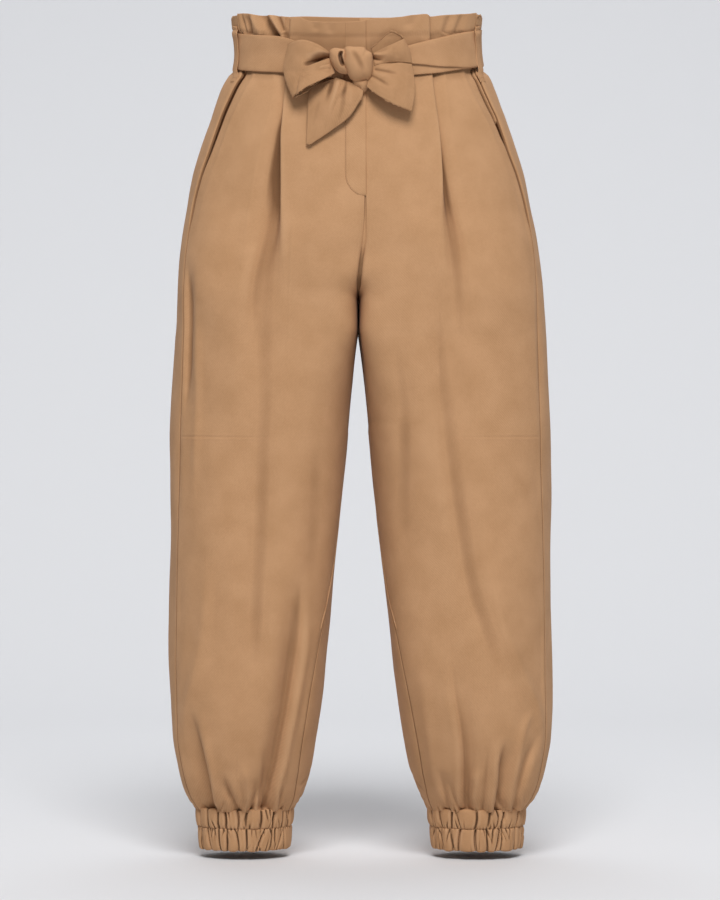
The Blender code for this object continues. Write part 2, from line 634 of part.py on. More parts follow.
def build():
    """Makes every piece."""
    clear_scene()
    crepe = cloth_material("camel crepe", CAMEL, 0.85)
    doubled = cloth_material("doubled camel crepe", CAMEL, 0.80)
    gathered = cloth_material("gathered camel crepe", CAMEL_IN_FOLDS, 0.88)
    skins = {}
    for side, word in ((RIGHT, "right"), (LEFT, "left")):
        front, back = front_rows(side), back_rows(side)
        skins[side] = Skin(side, front, back)
        panel(side, f"front_{word}", front, crepe)
        panel(side, f"back_{word}", back, crepe)
        pocket_facing(skins[side], f"pocket_facing_{word}", crepe)
        belt_carrier(skins[side], f"belt_carrier_{word}", doubled)
        cuff(side, f"cuff_{word}", gathered)
    fly_placket(skins, "fly_placket", crepe)
    belt_band("belt_band", doubled)
    bow_knot("bow_knot", doubled)
    tied_cloth("bow_loop_right", BOW_RIGHT, doubled, towards_out=True)
    tied_cloth("bow_loop_left", BOW_LEFT, doubled, towards_out=False)
    tied_cloth("tie_end_right", TIE_RIGHT, doubled, towards_out=True)
    tied_cloth("tie_end_left", TIE_LEFT, doubled, towards_out=False)


build()
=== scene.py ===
"""Looks of a pair of paper-bag waist joggers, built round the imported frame. Metres, +Z up, front towards -Y.

Right and left are the wearer's, so right is at -X. Each half of the garment hangs on rings, one for each
height, that run from the front seam round the outside to the back seam. A place on the cloth is a ring's
height, a length along that ring and a push outwards, and the folds are pushes that depend on the place.
"""

from __future__ import annotations

import logging
import math
from dataclasses import dataclass
from enum import Enum
from functools import lru_cache
from typing import NamedTuple, Sequence

import bmesh
import bpy
import numpy as np
from mathutils import Matrix, Vector


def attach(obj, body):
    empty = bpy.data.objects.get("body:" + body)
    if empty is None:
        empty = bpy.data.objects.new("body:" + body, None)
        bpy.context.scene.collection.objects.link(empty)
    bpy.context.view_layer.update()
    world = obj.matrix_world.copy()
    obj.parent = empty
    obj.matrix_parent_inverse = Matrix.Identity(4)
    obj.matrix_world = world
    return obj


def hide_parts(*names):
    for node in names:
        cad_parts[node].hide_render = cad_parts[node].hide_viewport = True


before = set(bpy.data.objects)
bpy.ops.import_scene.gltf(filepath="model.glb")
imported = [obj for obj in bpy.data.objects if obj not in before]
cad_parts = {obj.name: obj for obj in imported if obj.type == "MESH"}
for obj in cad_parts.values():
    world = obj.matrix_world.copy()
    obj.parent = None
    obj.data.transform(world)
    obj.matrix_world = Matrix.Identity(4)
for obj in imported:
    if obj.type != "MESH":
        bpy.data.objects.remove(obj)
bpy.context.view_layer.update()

log = logging.getLogger("joggers")
Array = np.ndarray
MM = 0.001
FULL_TURN = 2 * math.pi
# what a wave texture's scale is for bands one metre apart
WAVE_SCALE = FULL_TURN / 20


class Side(Enum):
    """The wearer's side, with the sign of its X."""

    RIGHT = -1
    LEFT = 1

    @property
    def word(self) -> str:
        """The side's name in node names."""
        return self.name.lower()


class Face(Enum):
    """Which of a half's two panels."""

    FRONT = "front"
    BACK = "back"


# --- Curves and tables ------------------------------------------------------------------------------


def smooth(value: Array | float, start: float, end: float) -> Array:
    """Rises from 0 at start to 1 at end, level at both.

    Args:
        value: Where to read it.
        start: The place where it leaves 0.
        end: The place where it reaches 1, which may be below start.

    Returns:
        The share at each value.
    """
    t = np.clip((np.asarray(value, float) - start) / (end - start), 0.0, 1.0)
    return t * t * (3 - 2 * t)


def follow(rows: Sequence[Sequence[float]], at: Array | float) -> Array:
    """Reads a table smoothly, without rising above or falling below its rows.

    Args:
        rows: Rows whose first number is a place, in rising or falling order.
        at: The places to read.

    Returns:
        One row of the other columns for each place, or one number each if there is one such column.
    """
    table = np.asarray(rows, float)
    if table[0, 0] > table[-1, 0]:
        table = table[::-1]
    place, value = table[:, 0], table[:, 1:]
    step = np.diff(place)[:, None]
    rise = np.diff(value, axis=0) / step
    slope = np.zeros_like(value)
    slope[0], slope[-1] = rise[0], rise[-1]
    before, after = rise[:-1], rise[1:]
    same = before * after > 0
    slope[1:-1][same] = 2 * before[same] * after[same] / (before[same] + after[same])
    where = np.clip(np.atleast_1d(np.asarray(at, float)), place[0], place[-1])
    i = np.clip(np.searchsorted(place, where, side="right") - 1, 0, len(place) - 2)
    width = step[i]
    t = (where[:, None] - place[i][:, None]) / width
    made = (
        value[i] * (1 + 2 * t) * (1 - t) ** 2
        + slope[i] * width * t * (1 - t) ** 2
        + value[i + 1] * t * t * (3 - 2 * t)
        + slope[i + 1] * width * t * t * (t - 1)
    )
    return made[:, 0] if made.shape[1] == 1 else made


def within(value: Array | float, rise: tuple[float, float], fall: tuple[float, float]) -> Array:
    """1 inside a range, fading to 0 at both ends.

    Args:
        value: Where to read it.
        rise: The places where it leaves 0 and reaches 1.
        fall: The places where it leaves 1 and reaches 0.

    Returns:
        The share at each value.
    """
    return smooth(value, *rise) * smooth(value, fall[1], fall[0])


def look_up(table: Sequence[tuple[float, float]], at: Array | float) -> Array:
    """Reads a table of places and values with straight lines between its rows."""
    return np.interp(at, *np.transpose(table))


def lengths(points: Array) -> Array:
    """Lengths along a line of points, from 0 at the first."""
    return np.concatenate([[0.0], np.cumsum(np.linalg.norm(np.diff(points, axis=0), axis=1))])


def read_line(at: Array, along: Array, values: Array) -> Array:
    """Reads rows of values between the places that they belong to.

    Args:
        at: The places to read.
        along: The rows' own places, rising.
        values: The rows.

    Returns:
        A row for each place.
    """
    return np.stack([np.interp(at, along, column) for column in values.T], axis=1)


def thread(points: Sequence[Sequence[float]], count: int, closed: bool = False, even: bool = False) -> Array:
    """A smooth curve through points.

    Args:
        points: The points that it passes through, of any number of coordinates.
        count: How many points to return.
        closed: Whether it returns to its first point, which isn't repeated.
        even: Whether the returned points are the same distance apart.

    Returns:
        An array of points.
    """
    p = np.asarray(points, float)
    if closed:
        p = np.vstack([p[-1], p, p[0], p[1]])
    else:
        p = np.vstack([2 * p[0] - p[1], p, 2 * p[-1] - p[-2]])
    spans = len(p) - 3
    fine = max(count, 12 * spans) if even else count
    t = np.linspace(0, spans, fine, endpoint=not closed)
    i = np.minimum(t.astype(int), spans - 1)
    f = (t - i)[:, None]
    a, b, c, d = p[i], p[i + 1], p[i + 2], p[i + 3]
    made = 0.5 * (2 * b + (c - a) * f + (2 * a - 5 * b + 4 * c - d) * f**2 + (3 * b - a - 3 * c + d) * f**3)
    if not even:
        return made
    length = lengths(made)
    return read_line(np.linspace(0, length[-1], count), length, made)


# --- The form that the cloth hangs in -----------------------------------------------------------------


class Level(NamedTuple):
    """The outline of the garment at one height.

    outer and inner are half-widths from the centre seam, front and back half-depths. split is 0 where both
    legs share a ring and 1 where each has its own. seam is the x of the centre seam and lean that of the
    outline's middle. side_in is how far inside the outline the side seam lies, and dip how much lower the
    front is than the sides.
    """

    z: float
    outer: float
    inner: float
    front: float
    back: float
    split: float
    seam: float
    lean: float
    side_in: float
    dip: float


class Ring:
    """One half of the garment at one height."""

    STEPS = 361

    def __init__(self, side: Side, level: Level, turn: float, square: float) -> None:
        """Works out the ring's points, its outward directions and its lengths.

        Args:
            side: The wearer's side.
            level: The outline at this height.
            turn: How far round to the front the inseam has moved, in radians.
            square: How square the front's inner corner is: 2 for a plain ellipse, more for a tighter corner.
        """
        self.side, self.z, self.level = side, level.z, level
        half = (level.outer - level.inner) / (1 + level.split)
        centre = level.inner + level.split * half
        lead = math.asin(min(level.split, 1.0))
        angle = np.linspace(turn - lead, math.pi + lead + turn, self.STEPS)
        across = centre + half * np.sin(angle)
        forward = np.cos(angle)
        tight = np.clip(1 - np.abs(np.sin(angle)) ** square, 0, 1) ** (1 / square)
        forward = np.where((forward > 0) & (np.sin(angle) < 0), np.maximum(forward, tight), forward)
        deep = np.where(forward > 0, level.front, level.back)
        x = level.seam + side.value * across + (level.lean - level.seam) * across / level.outer
        self.points = np.stack([x, -deep * forward, level.z - level.dip * np.maximum(forward, 0)], axis=1)
        run = np.gradient(self.points[:, :2], axis=0)
        out = np.stack([side.value * run[:, 1], -side.value * run[:, 0], 0 * x], axis=1)
        self.out = out / np.linalg.norm(out, axis=1)[:, None]
        self.along = lengths(self.points[:, :2])
        self.total = float(self.along[-1])
        self.side_seam = float(np.interp(math.asin((half - level.side_in) / half), angle, self.along))

    def at(self, s: Array | float, push: Array | float = 0.0) -> Array:
        """Points at lengths s from the front seam, moved outwards by push.

        Args:
            s: Lengths along the ring.
            push: Distances outwards.

        Returns:
            An array of points.
        """
        s, push = np.broadcast_arrays(np.atleast_1d(s), push)
        return read_line(s, self.along, self.points) + self.outward(s) * push[:, None]

    def outward(self, s: Array) -> Array:
        """Outward directions at lengths s."""
        return read_line(s, self.along, self.out)

    def s_at_x(self, x: float) -> float:
        """The length from the front seam to the place on the front whose x is given."""
        front = self.along < self.side_seam
        sign = self.side.value
        return float(np.interp(sign * x, sign * self.points[front, 0], self.along[front]))


@dataclass(frozen=True)
class BodyForm:
    """The hollow form of the waist, hips and legs, as when the joggers are worn."""

    levels: tuple[Level, ...] = (
        Level(0.0545, 0.1495, 0.0002, 0.087, 0.091, 0.00, 0.0050, -0.0045, 0.0085, 0.0170),
        Level(0.0380, 0.1485, 0.0002, 0.084, 0.089, 0.00, 0.0050, -0.0045, 0.0090, 0.0170),
        Level(0.0300, 0.1450, 0.0002, 0.082, 0.087, 0.00, 0.0050, -0.0045, 0.0100, 0.0165),
        Level(0.0085, 0.1435, 0.0002, 0.081, 0.086, 0.00, 0.0050, -0.0030, 0.0085, 0.0160),
        Level(-0.0130, 0.1455, 0.0002, 0.082, 0.088, 0.00, 0.0050, -0.0025, 0.0088, 0.0150),
        Level(-0.0220, 0.1545, 0.0002, 0.085, 0.092, 0.00, 0.0050, -0.0020, 0.0150, 0.0140),
        Level(-0.0387, 0.1630, 0.0002, 0.091, 0.099, 0.00, 0.0048, -0.0030, 0.0150, 0.0120),
        Level(-0.0565, 0.1695, 0.0002, 0.096, 0.106, 0.00, 0.0045, -0.0030, 0.0138, 0.0100),
        Level(-0.0740, 0.1755, 0.0002, 0.100, 0.112, 0.00, 0.0043, -0.0025, 0.0125, 0.0080),
        Level(-0.1100, 0.1880, 0.0002, 0.106, 0.121, 0.00, 0.0040, -0.0025, 0.0130, 0.0050),
        Level(-0.1460, 0.1985, 0.0002, 0.110, 0.128, 0.03, 0.0055, -0.0020, 0.0110, 0.0030),
        Level(-0.1820, 0.2050, 0.0002, 0.112, 0.131, 0.12, 0.0056, -0.0015, 0.0085, 0.0015),
        Level(-0.2170, 0.2115, 0.0002, 0.113, 0.131, 0.34, 0.0047, -0.0010, 0.0085, 0.0000),
        Level(-0.2530, 0.2160, 0.0003, 0.112, 0.128, 0.70, 0.0002, -0.0008, 0.0095, 0.0000),
        Level(-0.2895, 0.2190, 0.0001, 0.110, 0.123, 1.00, -0.0030, -0.0005, 0.0110, 0.0000),
        Level(-0.3245, 0.2205, -0.0003, 0.108, 0.119, 1.00, -0.0030, 0.0000, 0.0125, 0.0000),
        Level(-0.3360, 0.2212, 0.0012, 0.107, 0.118, 1.00, -0.0030, 0.0000, 0.0128, 0.0000),
        Level(-0.3780, 0.2230, 0.0062, 0.106, 0.115, 1.00, -0.0030, 0.0000, 0.0135, 0.0000),
        Level(-0.4670, 0.2262, 0.0148, 0.103, 0.110, 1.00, -0.0030, 0.0000, 0.0143, 0.0000),
        Level(-0.5560, 0.2265, 0.0238, 0.100, 0.106, 1.00, -0.0030, 0.0000, 0.0120, 0.0000),
        Level(-0.6450, 0.2265, 0.0320, 0.097, 0.102, 1.00, -0.0028, 0.0000, 0.0100, 0.0000),
        Level(-0.7170, 0.2270, 0.0390, 0.094, 0.098, 1.00, -0.0025, 0.0000, 0.0095, 0.0000),
        Level(-0.7705, 0.2270, 0.0455, 0.090, 0.093, 1.00, -0.0020, 0.0010, 0.0095, 0.0000),
        Level(-0.8060, 0.2260, 0.0512, 0.085, 0.088, 1.00, -0.0015, 0.0013, 0.0090, 0.0000),
        Level(-0.8420, 0.2205, 0.0580, 0.077, 0.080, 1.00, -0.0010, 0.0013, 0.0085, 0.0000),
        Level(-0.8600, 0.2160, 0.0638, 0.071, 0.074, 1.00, -0.0005, 0.0013, 0.0080, 0.0000),
        Level(-0.8780, 0.2085, 0.0702, 0.063, 0.065, 1.00, 0.0000, 0.0010, 0.0070, 0.0000),
        Level(-0.8926, 0.1980, 0.0780, 0.052, 0.054, 1.00, 0.0000, 0.0005, 0.0060, 0.0000),
    )
    # height, and how square the front's inner corner is there
    corner: tuple[tuple[float, float], ...] = (
        (-0.190, 2.0), (-0.235, 3.0), (-0.270, 6.0), (-0.330, 7.0), (-0.360, 5.0), (-0.420, 3.4),
        (-0.550, 2.8), (-0.750, 2.5), (-0.860, 2.0),
    )
    # height, and how far round to the front the inseam has moved there, in degrees
    inseam_turn: tuple[tuple[float, float], ...] = (
        (-0.500, 0), (-0.600, 8), (-0.700, 27), (-0.780, 34), (-0.830, 35), (-0.893, 27),
    )

    def ring(self, side: Side, z: float) -> Ring:
        """The ring of one half at height z."""
        return _ring(self, side, round(float(z), 5))

    def front_y(self, x: Array, z: Array) -> Array:
        """How far forward the fronts reach, without their folds.

        Args:
            x: Places across.
            z: True heights.

        Returns:
            The y of the fronts at each place.
        """
        made = np.zeros(len(x))
        for i, (across, height) in enumerate(zip(x, z)):
            level_z = height
            for _ in range(3):
                ring = self.ring(Side.LEFT if across > 0.005 else Side.RIGHT, round(level_z, 3))
                point = ring.at(ring.s_at_x(across))[0]
                level_z += height - point[2]
            made[i] = point[1]
        return made


@lru_cache(maxsize=None)
def _ring(form: BodyForm, side: Side, z: float) -> Ring:
    """Makes each ring once."""
    values = follow(form.levels, z)[0]
    turn = math.radians(float(follow(form.inseam_turn, z)[0]))
    return Ring(side, Level(z, *values), turn, float(follow(form.corner, z)[0]))


FORM = BodyForm()


# --- Folds ------------------------------------------------------------------------------------------


@dataclass(frozen=True)
class Crease:
    """A soft trough in the cloth, or a ridge where depth is below 0, along a path of (x, z) places.

    width holds its half-widths at the two ends of the path. rise and fall are the shares of the path over
    which it starts and ends. bank makes one wall steeper: above 0 the one towards +X, below 0 the other.
    lip is the height of its raised shoulders, as a share of the depth.
    """

    path: tuple[tuple[float, float], ...]
    depth: float
    width: tuple[float, float]
    rise: float
    fall: float
    bank: float
    lip: float

    def push(self, x: Array, z: Array) -> Array:
        """How far the crease moves the cloth outwards.

        Args:
            x: Places across.
            z: Heights.

        Returns:
            A push for each place.
        """
        made = np.zeros(x.shape)
        line = thread(self.path, 28, even=True)
        reach = 4 * max(self.width)
        near = (x > line[:, 0].min() - reach) & (x < line[:, 0].max() + reach)
        near &= (z > line[:, 1].min() - reach) & (z < line[:, 1].max() + reach)
        if not near.any():
            return made
        spot = np.stack([x[near], z[near]], axis=1)
        start, run = line[:-1], np.diff(line, axis=0)
        length = (run**2).sum(1)
        share = np.clip(((spot[:, None] - start) * run).sum(2) / length, 0, 1)
        gap = spot[:, None] - (start + share[:, :, None] * run)
        apart = (gap**2).sum(2)
        best = apart.argmin(1)
        pick = np.arange(len(best))
        along = (best + share[pick, best]) / len(run)
        distance = np.sqrt(apart[pick, best])
        towards = np.sign(gap[pick, best, 0])
        width = self.width[0] + (self.width[1] - self.width[0]) * along
        lean = self.bank * towards
        width = width * np.where(lean > 0, 1 - 0.7 * lean, 1 - 1.5 * lean)
        across = distance / width
        lip = self.lip * np.where(lean < 0, 0.3, 1.0)
        shape = np.exp(-(across**2)) - lip * np.exp(-(((across - 2.2) / 1.1) ** 2))
        ends = smooth(along, 0, max(self.rise, 1e-3)) * (1 - smooth(along, 1 - max(self.fall, 1e-3), 1))
        made[near] = -self.depth * shape * ends
        return made


def mm_path(*places: tuple[float, float]) -> tuple[tuple[float, float], ...]:
    """Places given in millimetres, in metres."""
    return tuple((x * MM, z * MM) for x, z in places)


def fold(
    depth: float,
    width: tuple[float, float],
    *path: tuple[float, float],
    ends: tuple[float, float],
    bank: float = 0.0,
    lip: float = 0.12,
) -> Crease:
    """A crease whose sizes are given in millimetres.

    Args:
        depth: How deep it is, or below 0 how high a ridge.
        width: Its half-widths at the two ends of its path.
        path: The places that it passes through.
        ends: The shares of the path over which it starts and ends.
        bank: Which of its walls is steeper.
        lip: The height of its shoulders, as a share of the depth.

    Returns:
        The crease.
    """
    return Crease(mm_path(*path), depth * MM, (width[0] * MM, width[1] * MM), *ends, bank, lip)


@dataclass(frozen=True)
class Gathers:
    """Small uneven valleys that run up from an edge where the cloth is drawn in.

    edge is the height that they start from. spacing, depth, width and reach are typical sizes, and each
    valley has its own.
    """

    edge: float
    spacing: float
    depth: float
    width: float
    reach: float

    def push(self, seed: int, along: Array, z: Array) -> Array:
        """How far the gathers move the cloth outwards.

        Args:
            seed: Which set of valleys.
            along: Lengths along the edge.
            z: Heights.

        Returns:
            A push for each place.
        """
        chance = np.random.default_rng(seed)
        made = np.zeros(along.shape)
        past = smooth(z - self.edge, -0.008, 0.0)
        height = np.maximum(z - self.edge, 0)
        for number in range(int(along.max() / self.spacing) + 1):
            centre = (number + chance.uniform(0.15, 0.85)) * self.spacing
            depth = self.depth * chance.uniform(0.35, 1.25)
            width = self.width * chance.uniform(0.7, 1.5)
            reach = self.reach * chance.uniform(0.25, 1.0)
            slant = chance.uniform(-0.22, 0.22)
            fade = np.clip(1 - height / reach, 0, 1) ** 1.4
            grown = width * (1 + 1.6 * height / reach)
            made -= depth * fade * np.exp(-(((along - centre - slant * height) / grown) ** 2))
        return made * past


def undulation(seed: int, x: Array, z: Array, size: float, height: float) -> Array:
    """The slight waves of a cloth that hangs freely.

    Args:
        seed: Which set of waves.
        x: Lengths along the cloth.
        z: Heights.
        size: The length of a typical wave across, a third of that of one down the cloth.
        height: Half the height of a typical wave.

    Returns:
        A push for each place.
    """
    chance = np.random.default_rng(seed)
    made = np.zeros(x.shape)
    for _ in range(7):
        across = 2 * math.pi / (size * chance.uniform(0.6, 2.2)) * chance.choice([-1, 1])
        down = 2 * math.pi / (size * chance.uniform(1.6, 6.0))
        bend = chance.uniform(0.2, 0.7)
        phase = chance.uniform(0, 2 * math.pi, 2)
        made += np.sin(across * x + down * z + phase[0] + bend * np.sin(down * z * 1.7 + phase[1]))
    return made * height / 2.6


# --- Meshes -----------------------------------------------------------------------------------------


def shape_mesh(mesh: bpy.types.Mesh, points: Array, weave: Array, crest: Array | None) -> None:
    """Moves a mesh's vertices and gives it its weave map and its crest attribute.

    Args:
        mesh: The mesh.
        points: Where its vertices go.
        weave: Lengths along and down the cloth at each vertex, in metres.
        crest: Painted shade below 0 and painted highlight above, from -1 to 1, mostly from how it stands out.
    """
    mesh.vertices.foreach_set("co", points.reshape(-1).astype(np.float32))
    corner = np.zeros(len(mesh.loops), np.int32)
    mesh.loops.foreach_get("vertex_index", corner)
    layer = mesh.uv_layers.new(name="weave")
    layer.data.foreach_set("uv", weave.reshape(-1, 2)[corner].reshape(-1).astype(np.float32))
    if crest is not None:
        wear_and_painted_light = mesh.attributes.new("crest", "FLOAT", "POINT")
        wear_and_painted_light.data.foreach_set("value", crest.reshape(-1).astype(np.float32))


def turn_outwards(mesh: bpy.types.Mesh) -> None:
    """Joins the vertices of a closed mesh that lie on each other, and turns its faces outwards."""
    bm = bmesh.new()
    bm.from_mesh(mesh)
    bmesh.ops.remove_doubles(bm, verts=bm.verts, dist=1e-6)
    bmesh.ops.recalc_face_normals(bm, faces=bm.faces)
    bm.to_mesh(mesh)
    bm.free()


def grid_mesh(name: str, rows: int, columns: int, outward: bool = True) -> bpy.types.Mesh:
    """A flat lattice of square faces, whose vertices are in the order of its rows.

    Args:
        name: The mesh's name.
        rows: How many rows of vertices it has.
        columns: How many vertices a row has.
        outward: Whether its faces turn to the side that a rising column and a rising row give.

    Returns:
        The mesh.
    """
    bm = bmesh.new()
    bmesh.ops.create_grid(bm, x_segments=columns - 1, y_segments=rows - 1, size=1.0)
    if not outward:
        bmesh.ops.reverse_faces(bm, faces=bm.faces)
    mesh = bpy.data.meshes.new(name)
    bm.to_mesh(mesh)
    bm.free()
    return mesh


def grid_piece(
    name: str,
    points: Array,
    weave: Array,
    outward: bool,
    wall: float = 0.0,
    tube: bool = False,
    crest: Array | None = None,
) -> bpy.types.Object:
    """A cloth surface through a lattice of points, with its weave's own UV map in metres.

    Args:
        name: The piece's name.
        points: The lattice, rows by columns by 3.
        weave: Lengths along and down the cloth at each point, rows by columns by 2.
        outward: Whether the face that a rising column and a rising row turn to is the outer one.
        wall: The thickness of the cloth, which grows inwards, or 0 for none.
        tube: Whether each row and each column closes on itself.
        crest: Painted shade below 0 and painted highlight above, from -1 to 1, mostly from how it stands out.

    Returns:
        The piece.
    """
    for axis in (1, 0) if tube else ():
        beyond = 2 * np.take(weave, [-1], axis) - np.take(weave, [-2], axis)
        weave = np.concatenate([weave, beyond], axis)
        points = np.concatenate([points, np.take(points, [0], axis)], axis)
        crest = None if crest is None else np.concatenate([crest, np.take(crest, [0], axis)], axis)
    mesh = grid_mesh(name, *points.shape[:2], outward)
    shape_mesh(mesh, points, weave, crest)
    mesh.update()
    if tube:
        turn_outwards(mesh)
    return finish_piece(name, mesh, wall)


def finish_piece(name: str, mesh: bpy.types.Mesh, wall: float = 0.0) -> bpy.types.Object:
    """Links a mesh as a smooth piece with its wall.

    Args:
        name: The piece's name.
        mesh: Its mesh, in place.
        wall: The thickness that grows inwards, or 0.

    Returns:
        The piece.
    """
    mesh.shade_smooth()
    piece = bpy.data.objects.new(name, mesh)
    bpy.context.scene.collection.objects.link(piece)
    if wall:
        solidify = piece.modifiers.new("wall", "SOLIDIFY")
        solidify.thickness = wall
        solidify.offset = -1.0
        solidify.use_rim = True
    return piece


def crest_of(push: Array, reach: int, full: float = 0.8 * MM) -> Array:
    """How much each point of a lattice of pushes stands out from those beside it.

    Args:
        push: Pushes, rows by columns.
        reach: How many columns away its neighbours are taken.
        full: The height above its neighbours that counts as 1.

    Returns:
        Shares from -1 in a fold to 1 on a ridge.
    """
    wide = np.pad(push, ((0, 0), (reach, reach)), mode="edge")
    total = np.cumsum(np.pad(wide, ((0, 0), (1, 0))), axis=1)
    span = 2 * reach + 1
    mean = (total[:, span:] - total[:, :-span]) / span
    return np.clip((push - mean) / full, -1, 1)


# --- Finishes ---------------------------------------------------------------------------------------


def linear(code: str) -> tuple[float, float, float, float]:
    """Turns an sRGB hex colour into a linear one.

    Args:
        code: Six hex digits after a #.

    Returns:
        Red, green, blue and 1.
    """
    shares = [int(code[i : i + 2], 16) / 255 for i in (1, 3, 5)]
    red, green, blue = (c / 12.92 if c <= 0.04045 else ((c + 0.055) / 1.055) ** 2.4 for c in shares)
    return red, green, blue, 1.0


def add_node(
    tree: bpy.types.NodeTree,
    kind: str,
    settings: dict[str, object] | None = None,
    inputs: dict[str | int, object] | None = None,
) -> bpy.types.Node:
    """Adds a node with its settings, values and links.

    Args:
        tree: The material's tree.
        kind: The node's type, without the word that all of them start with.
        settings: Its properties.
        inputs: A value, or a socket to link from, for each named or numbered input.

    Returns:
        The node.
    """
    made = tree.nodes.new(f"ShaderNode{kind}")
    for name, value in (settings or {}).items():
        setattr(made, name, value)
    for name, value in (inputs or {}).items():
        if isinstance(value, bpy.types.NodeSocket):
            tree.links.new(value, made.inputs[name])
        else:
            made.inputs[name].default_value = value
    return made


def blend(
    tree: bpy.types.NodeTree, share: bpy.types.NodeSocket, low: object, high: object
) -> bpy.types.NodeSocket:
    """A colour that goes from low to high as share does from 0 to 1."""
    return add_node(tree, "Mix", {"data_type": "RGBA"}, {"Factor": share, 6: low, 7: high}).outputs[2]


def remap(
    tree: bpy.types.NodeTree,
    value: bpy.types.NodeSocket,
    start: tuple[float, float],
    end: tuple[float, float],
) -> bpy.types.NodeSocket:
    """Moves a value from the range start to the range end, and holds it inside.

    Args:
        tree: The material's tree.
        value: The value.
        start: The two ends of its range.
        end: What they become.

    Returns:
        The new value.
    """
    ends = {"From Min": start[0], "From Max": start[1], "To Min": end[0], "To Max": end[1]}
    return add_node(tree, "MapRange", {}, {"Value": value, **ends}).outputs["Result"]


def multiply_add(
    tree: bpy.types.NodeTree, value: bpy.types.NodeSocket, factor: float, rest: bpy.types.NodeSocket
) -> bpy.types.NodeSocket:
    """value times factor, plus rest."""
    return add_node(tree, "Math", {"operation": "MULTIPLY_ADD"}, {0: value, 1: factor, 2: rest}).outputs[0]


def start_material(name: str) -> bpy.types.Material:
    """A new material with no nodes."""
    material = bpy.data.materials.new(name)
    material.use_nodes = True
    material.node_tree.nodes.clear()
    return material


@dataclass(frozen=True)
class Crepe:
    """Viscose crepe with a fine twill face: matt, slightly pebbled, and a little uneven where it was pressed.

    The overtwisted yarn gives a dry surface with almost no gloss and a faint halo of fibre at grazing
    angles. The real twill has a rib every 0.7 mm, too fine to show, so it is drawn about twice as coarse.
    rib, pebble and blotch are the sizes of the twill, of the crepe's grain and of the uneven shade. light
    and dark are the ends of that shade. wear_and_painted_light is the colour of ridges, partly wear
    and partly painted highlight, and deep is the painted shade of folds, seams and hollows. tone holds
    the sum of the three patterns at the dark end and at the light one.
    """

    name: str = "camel viscose crepe"
    light: str = "#C2966F"
    dark: str = "#B48962"
    # painted highlight on ridges, partly wear
    wear_and_painted_light: str = "#CAA07A"
    # painted shade in folds, seams and hollows
    deep: str = "#6B482D"
    rib: float = 1.5 * MM
    pebble: float = 2.4 * MM
    blotch: float = 34.0 * MM
    relief: float = 0.24 * MM
    roughness: float = 0.88
    unevenness: float = 0.06
    sheen: float = 0.04
    tone: tuple[float, float] = (0.55, 1.08)

    def material(self) -> bpy.types.Material:
        """The material, made once."""
        found = bpy.data.materials.get(self.name)
        if found:
            return found
        material = start_material(self.name)
        tree = material.node_tree
        weave = add_node(tree, "UVMap", {"uv_map": "weave"}).outputs["UV"]
        place = add_node(tree, "TexCoord").outputs["Object"]
        diagonal = {"wave_type": "BANDS", "bands_direction": "DIAGONAL", "wave_profile": "SIN"}
        ribs = {"Vector": weave, "Scale": WAVE_SCALE / self.rib, "Distortion": 1.4, "Detail": 1.0}
        rib = add_node(tree, "TexWave", diagonal, ribs | {"Detail Scale": 0.35}).outputs["Fac"]
        grain = {"Vector": weave, "Scale": 1 / self.pebble, "Detail": 3.0, "Roughness": 0.6}
        pebble = add_node(tree, "TexNoise", {}, grain).outputs["Fac"]
        patches = {"Vector": place, "Scale": 1 / self.blotch, "Detail": 4.0, "Roughness": 0.55}
        blotch = add_node(tree, "TexNoise", {}, patches).outputs["Fac"]
        fine = multiply_add(tree, rib, 0.35, pebble)
        shade = multiply_add(tree, fine, 0.5, blotch)
        tone = remap(tree, shade, self.tone, (0.0, 1.0))
        ground = blend(tree, tone, linear(self.dark), linear(self.light))
        # Painted light: the crest attribute blends ridges towards a painted highlight that is partly wear, and
        # folds, seams and hollows towards painted shade
        crest = add_node(tree, "Attribute", {"attribute_name": "crest"}).outputs["Fac"]
        ridges_with_wear_and_highlight = blend(tree, remap(tree, crest, (0.2, 1.0), (0.0, 0.45)), ground, linear(self.wear_and_painted_light))
        colour = blend(tree, remap(tree, crest, (-0.1, -1.0), (0.0, 0.75)), ridges_with_wear_and_highlight, linear(self.deep))
        ends = (self.roughness - self.unevenness, self.roughness + self.unevenness)
        rough = remap(tree, pebble, (0.0, 1.0), ends)
        height = {"Strength": 0.55, "Distance": self.relief, "Height": fine}
        bump = add_node(tree, "Bump", {}, height).outputs["Normal"]
        gloss = {"IOR": 1.45, "Specular IOR Level": 0.15, "Sheen Weight": self.sheen, "Sheen Roughness": 0.5}
        surface = {"Base Color": colour, "Roughness": rough, "Normal": bump}
        shader = add_node(tree, "BsdfPrincipled", {}, surface | gloss).outputs["BSDF"]
        add_node(tree, "OutputMaterial", {}, {"Surface": shader})
        return material


@dataclass(frozen=True)
class Thread:
    """Spun polyester sewing thread, matched to the cloth: rounder and a touch glossier than the crepe.

    ply is the length of one turn of its twist, which stripes it, and relief how deep the twist is.
    """

    name: str = "camel sewing thread"
    light: str = "#B28862"
    dark: str = "#96704E"
    ply: float = 0.5 * MM
    relief: float = 0.05 * MM
    roughness: float = 0.6

    def material(self) -> bpy.types.Material:
        """The material, made once."""
        found = bpy.data.materials.get(self.name)
        if found:
            return found
        material = start_material(self.name)
        tree = material.node_tree
        place = add_node(tree, "TexCoord").outputs["Object"]
        twist = {"Vector": place, "Scale": WAVE_SCALE / self.ply}
        ply = add_node(tree, "TexWave", {"bands_direction": "DIAGONAL"}, twist).outputs["Fac"]
        colour = blend(tree, ply, linear(self.dark), linear(self.light))
        height = {"Strength": 0.4, "Distance": self.relief, "Height": ply}
        bump = add_node(tree, "Bump", {}, height).outputs["Normal"]
        inputs = {"Base Color": colour, "Roughness": self.roughness, "Normal": bump}
        shader = add_node(tree, "BsdfPrincipled", {}, inputs).outputs["BSDF"]
        add_node(tree, "OutputMaterial", {}, {"Surface": shader})
        return material


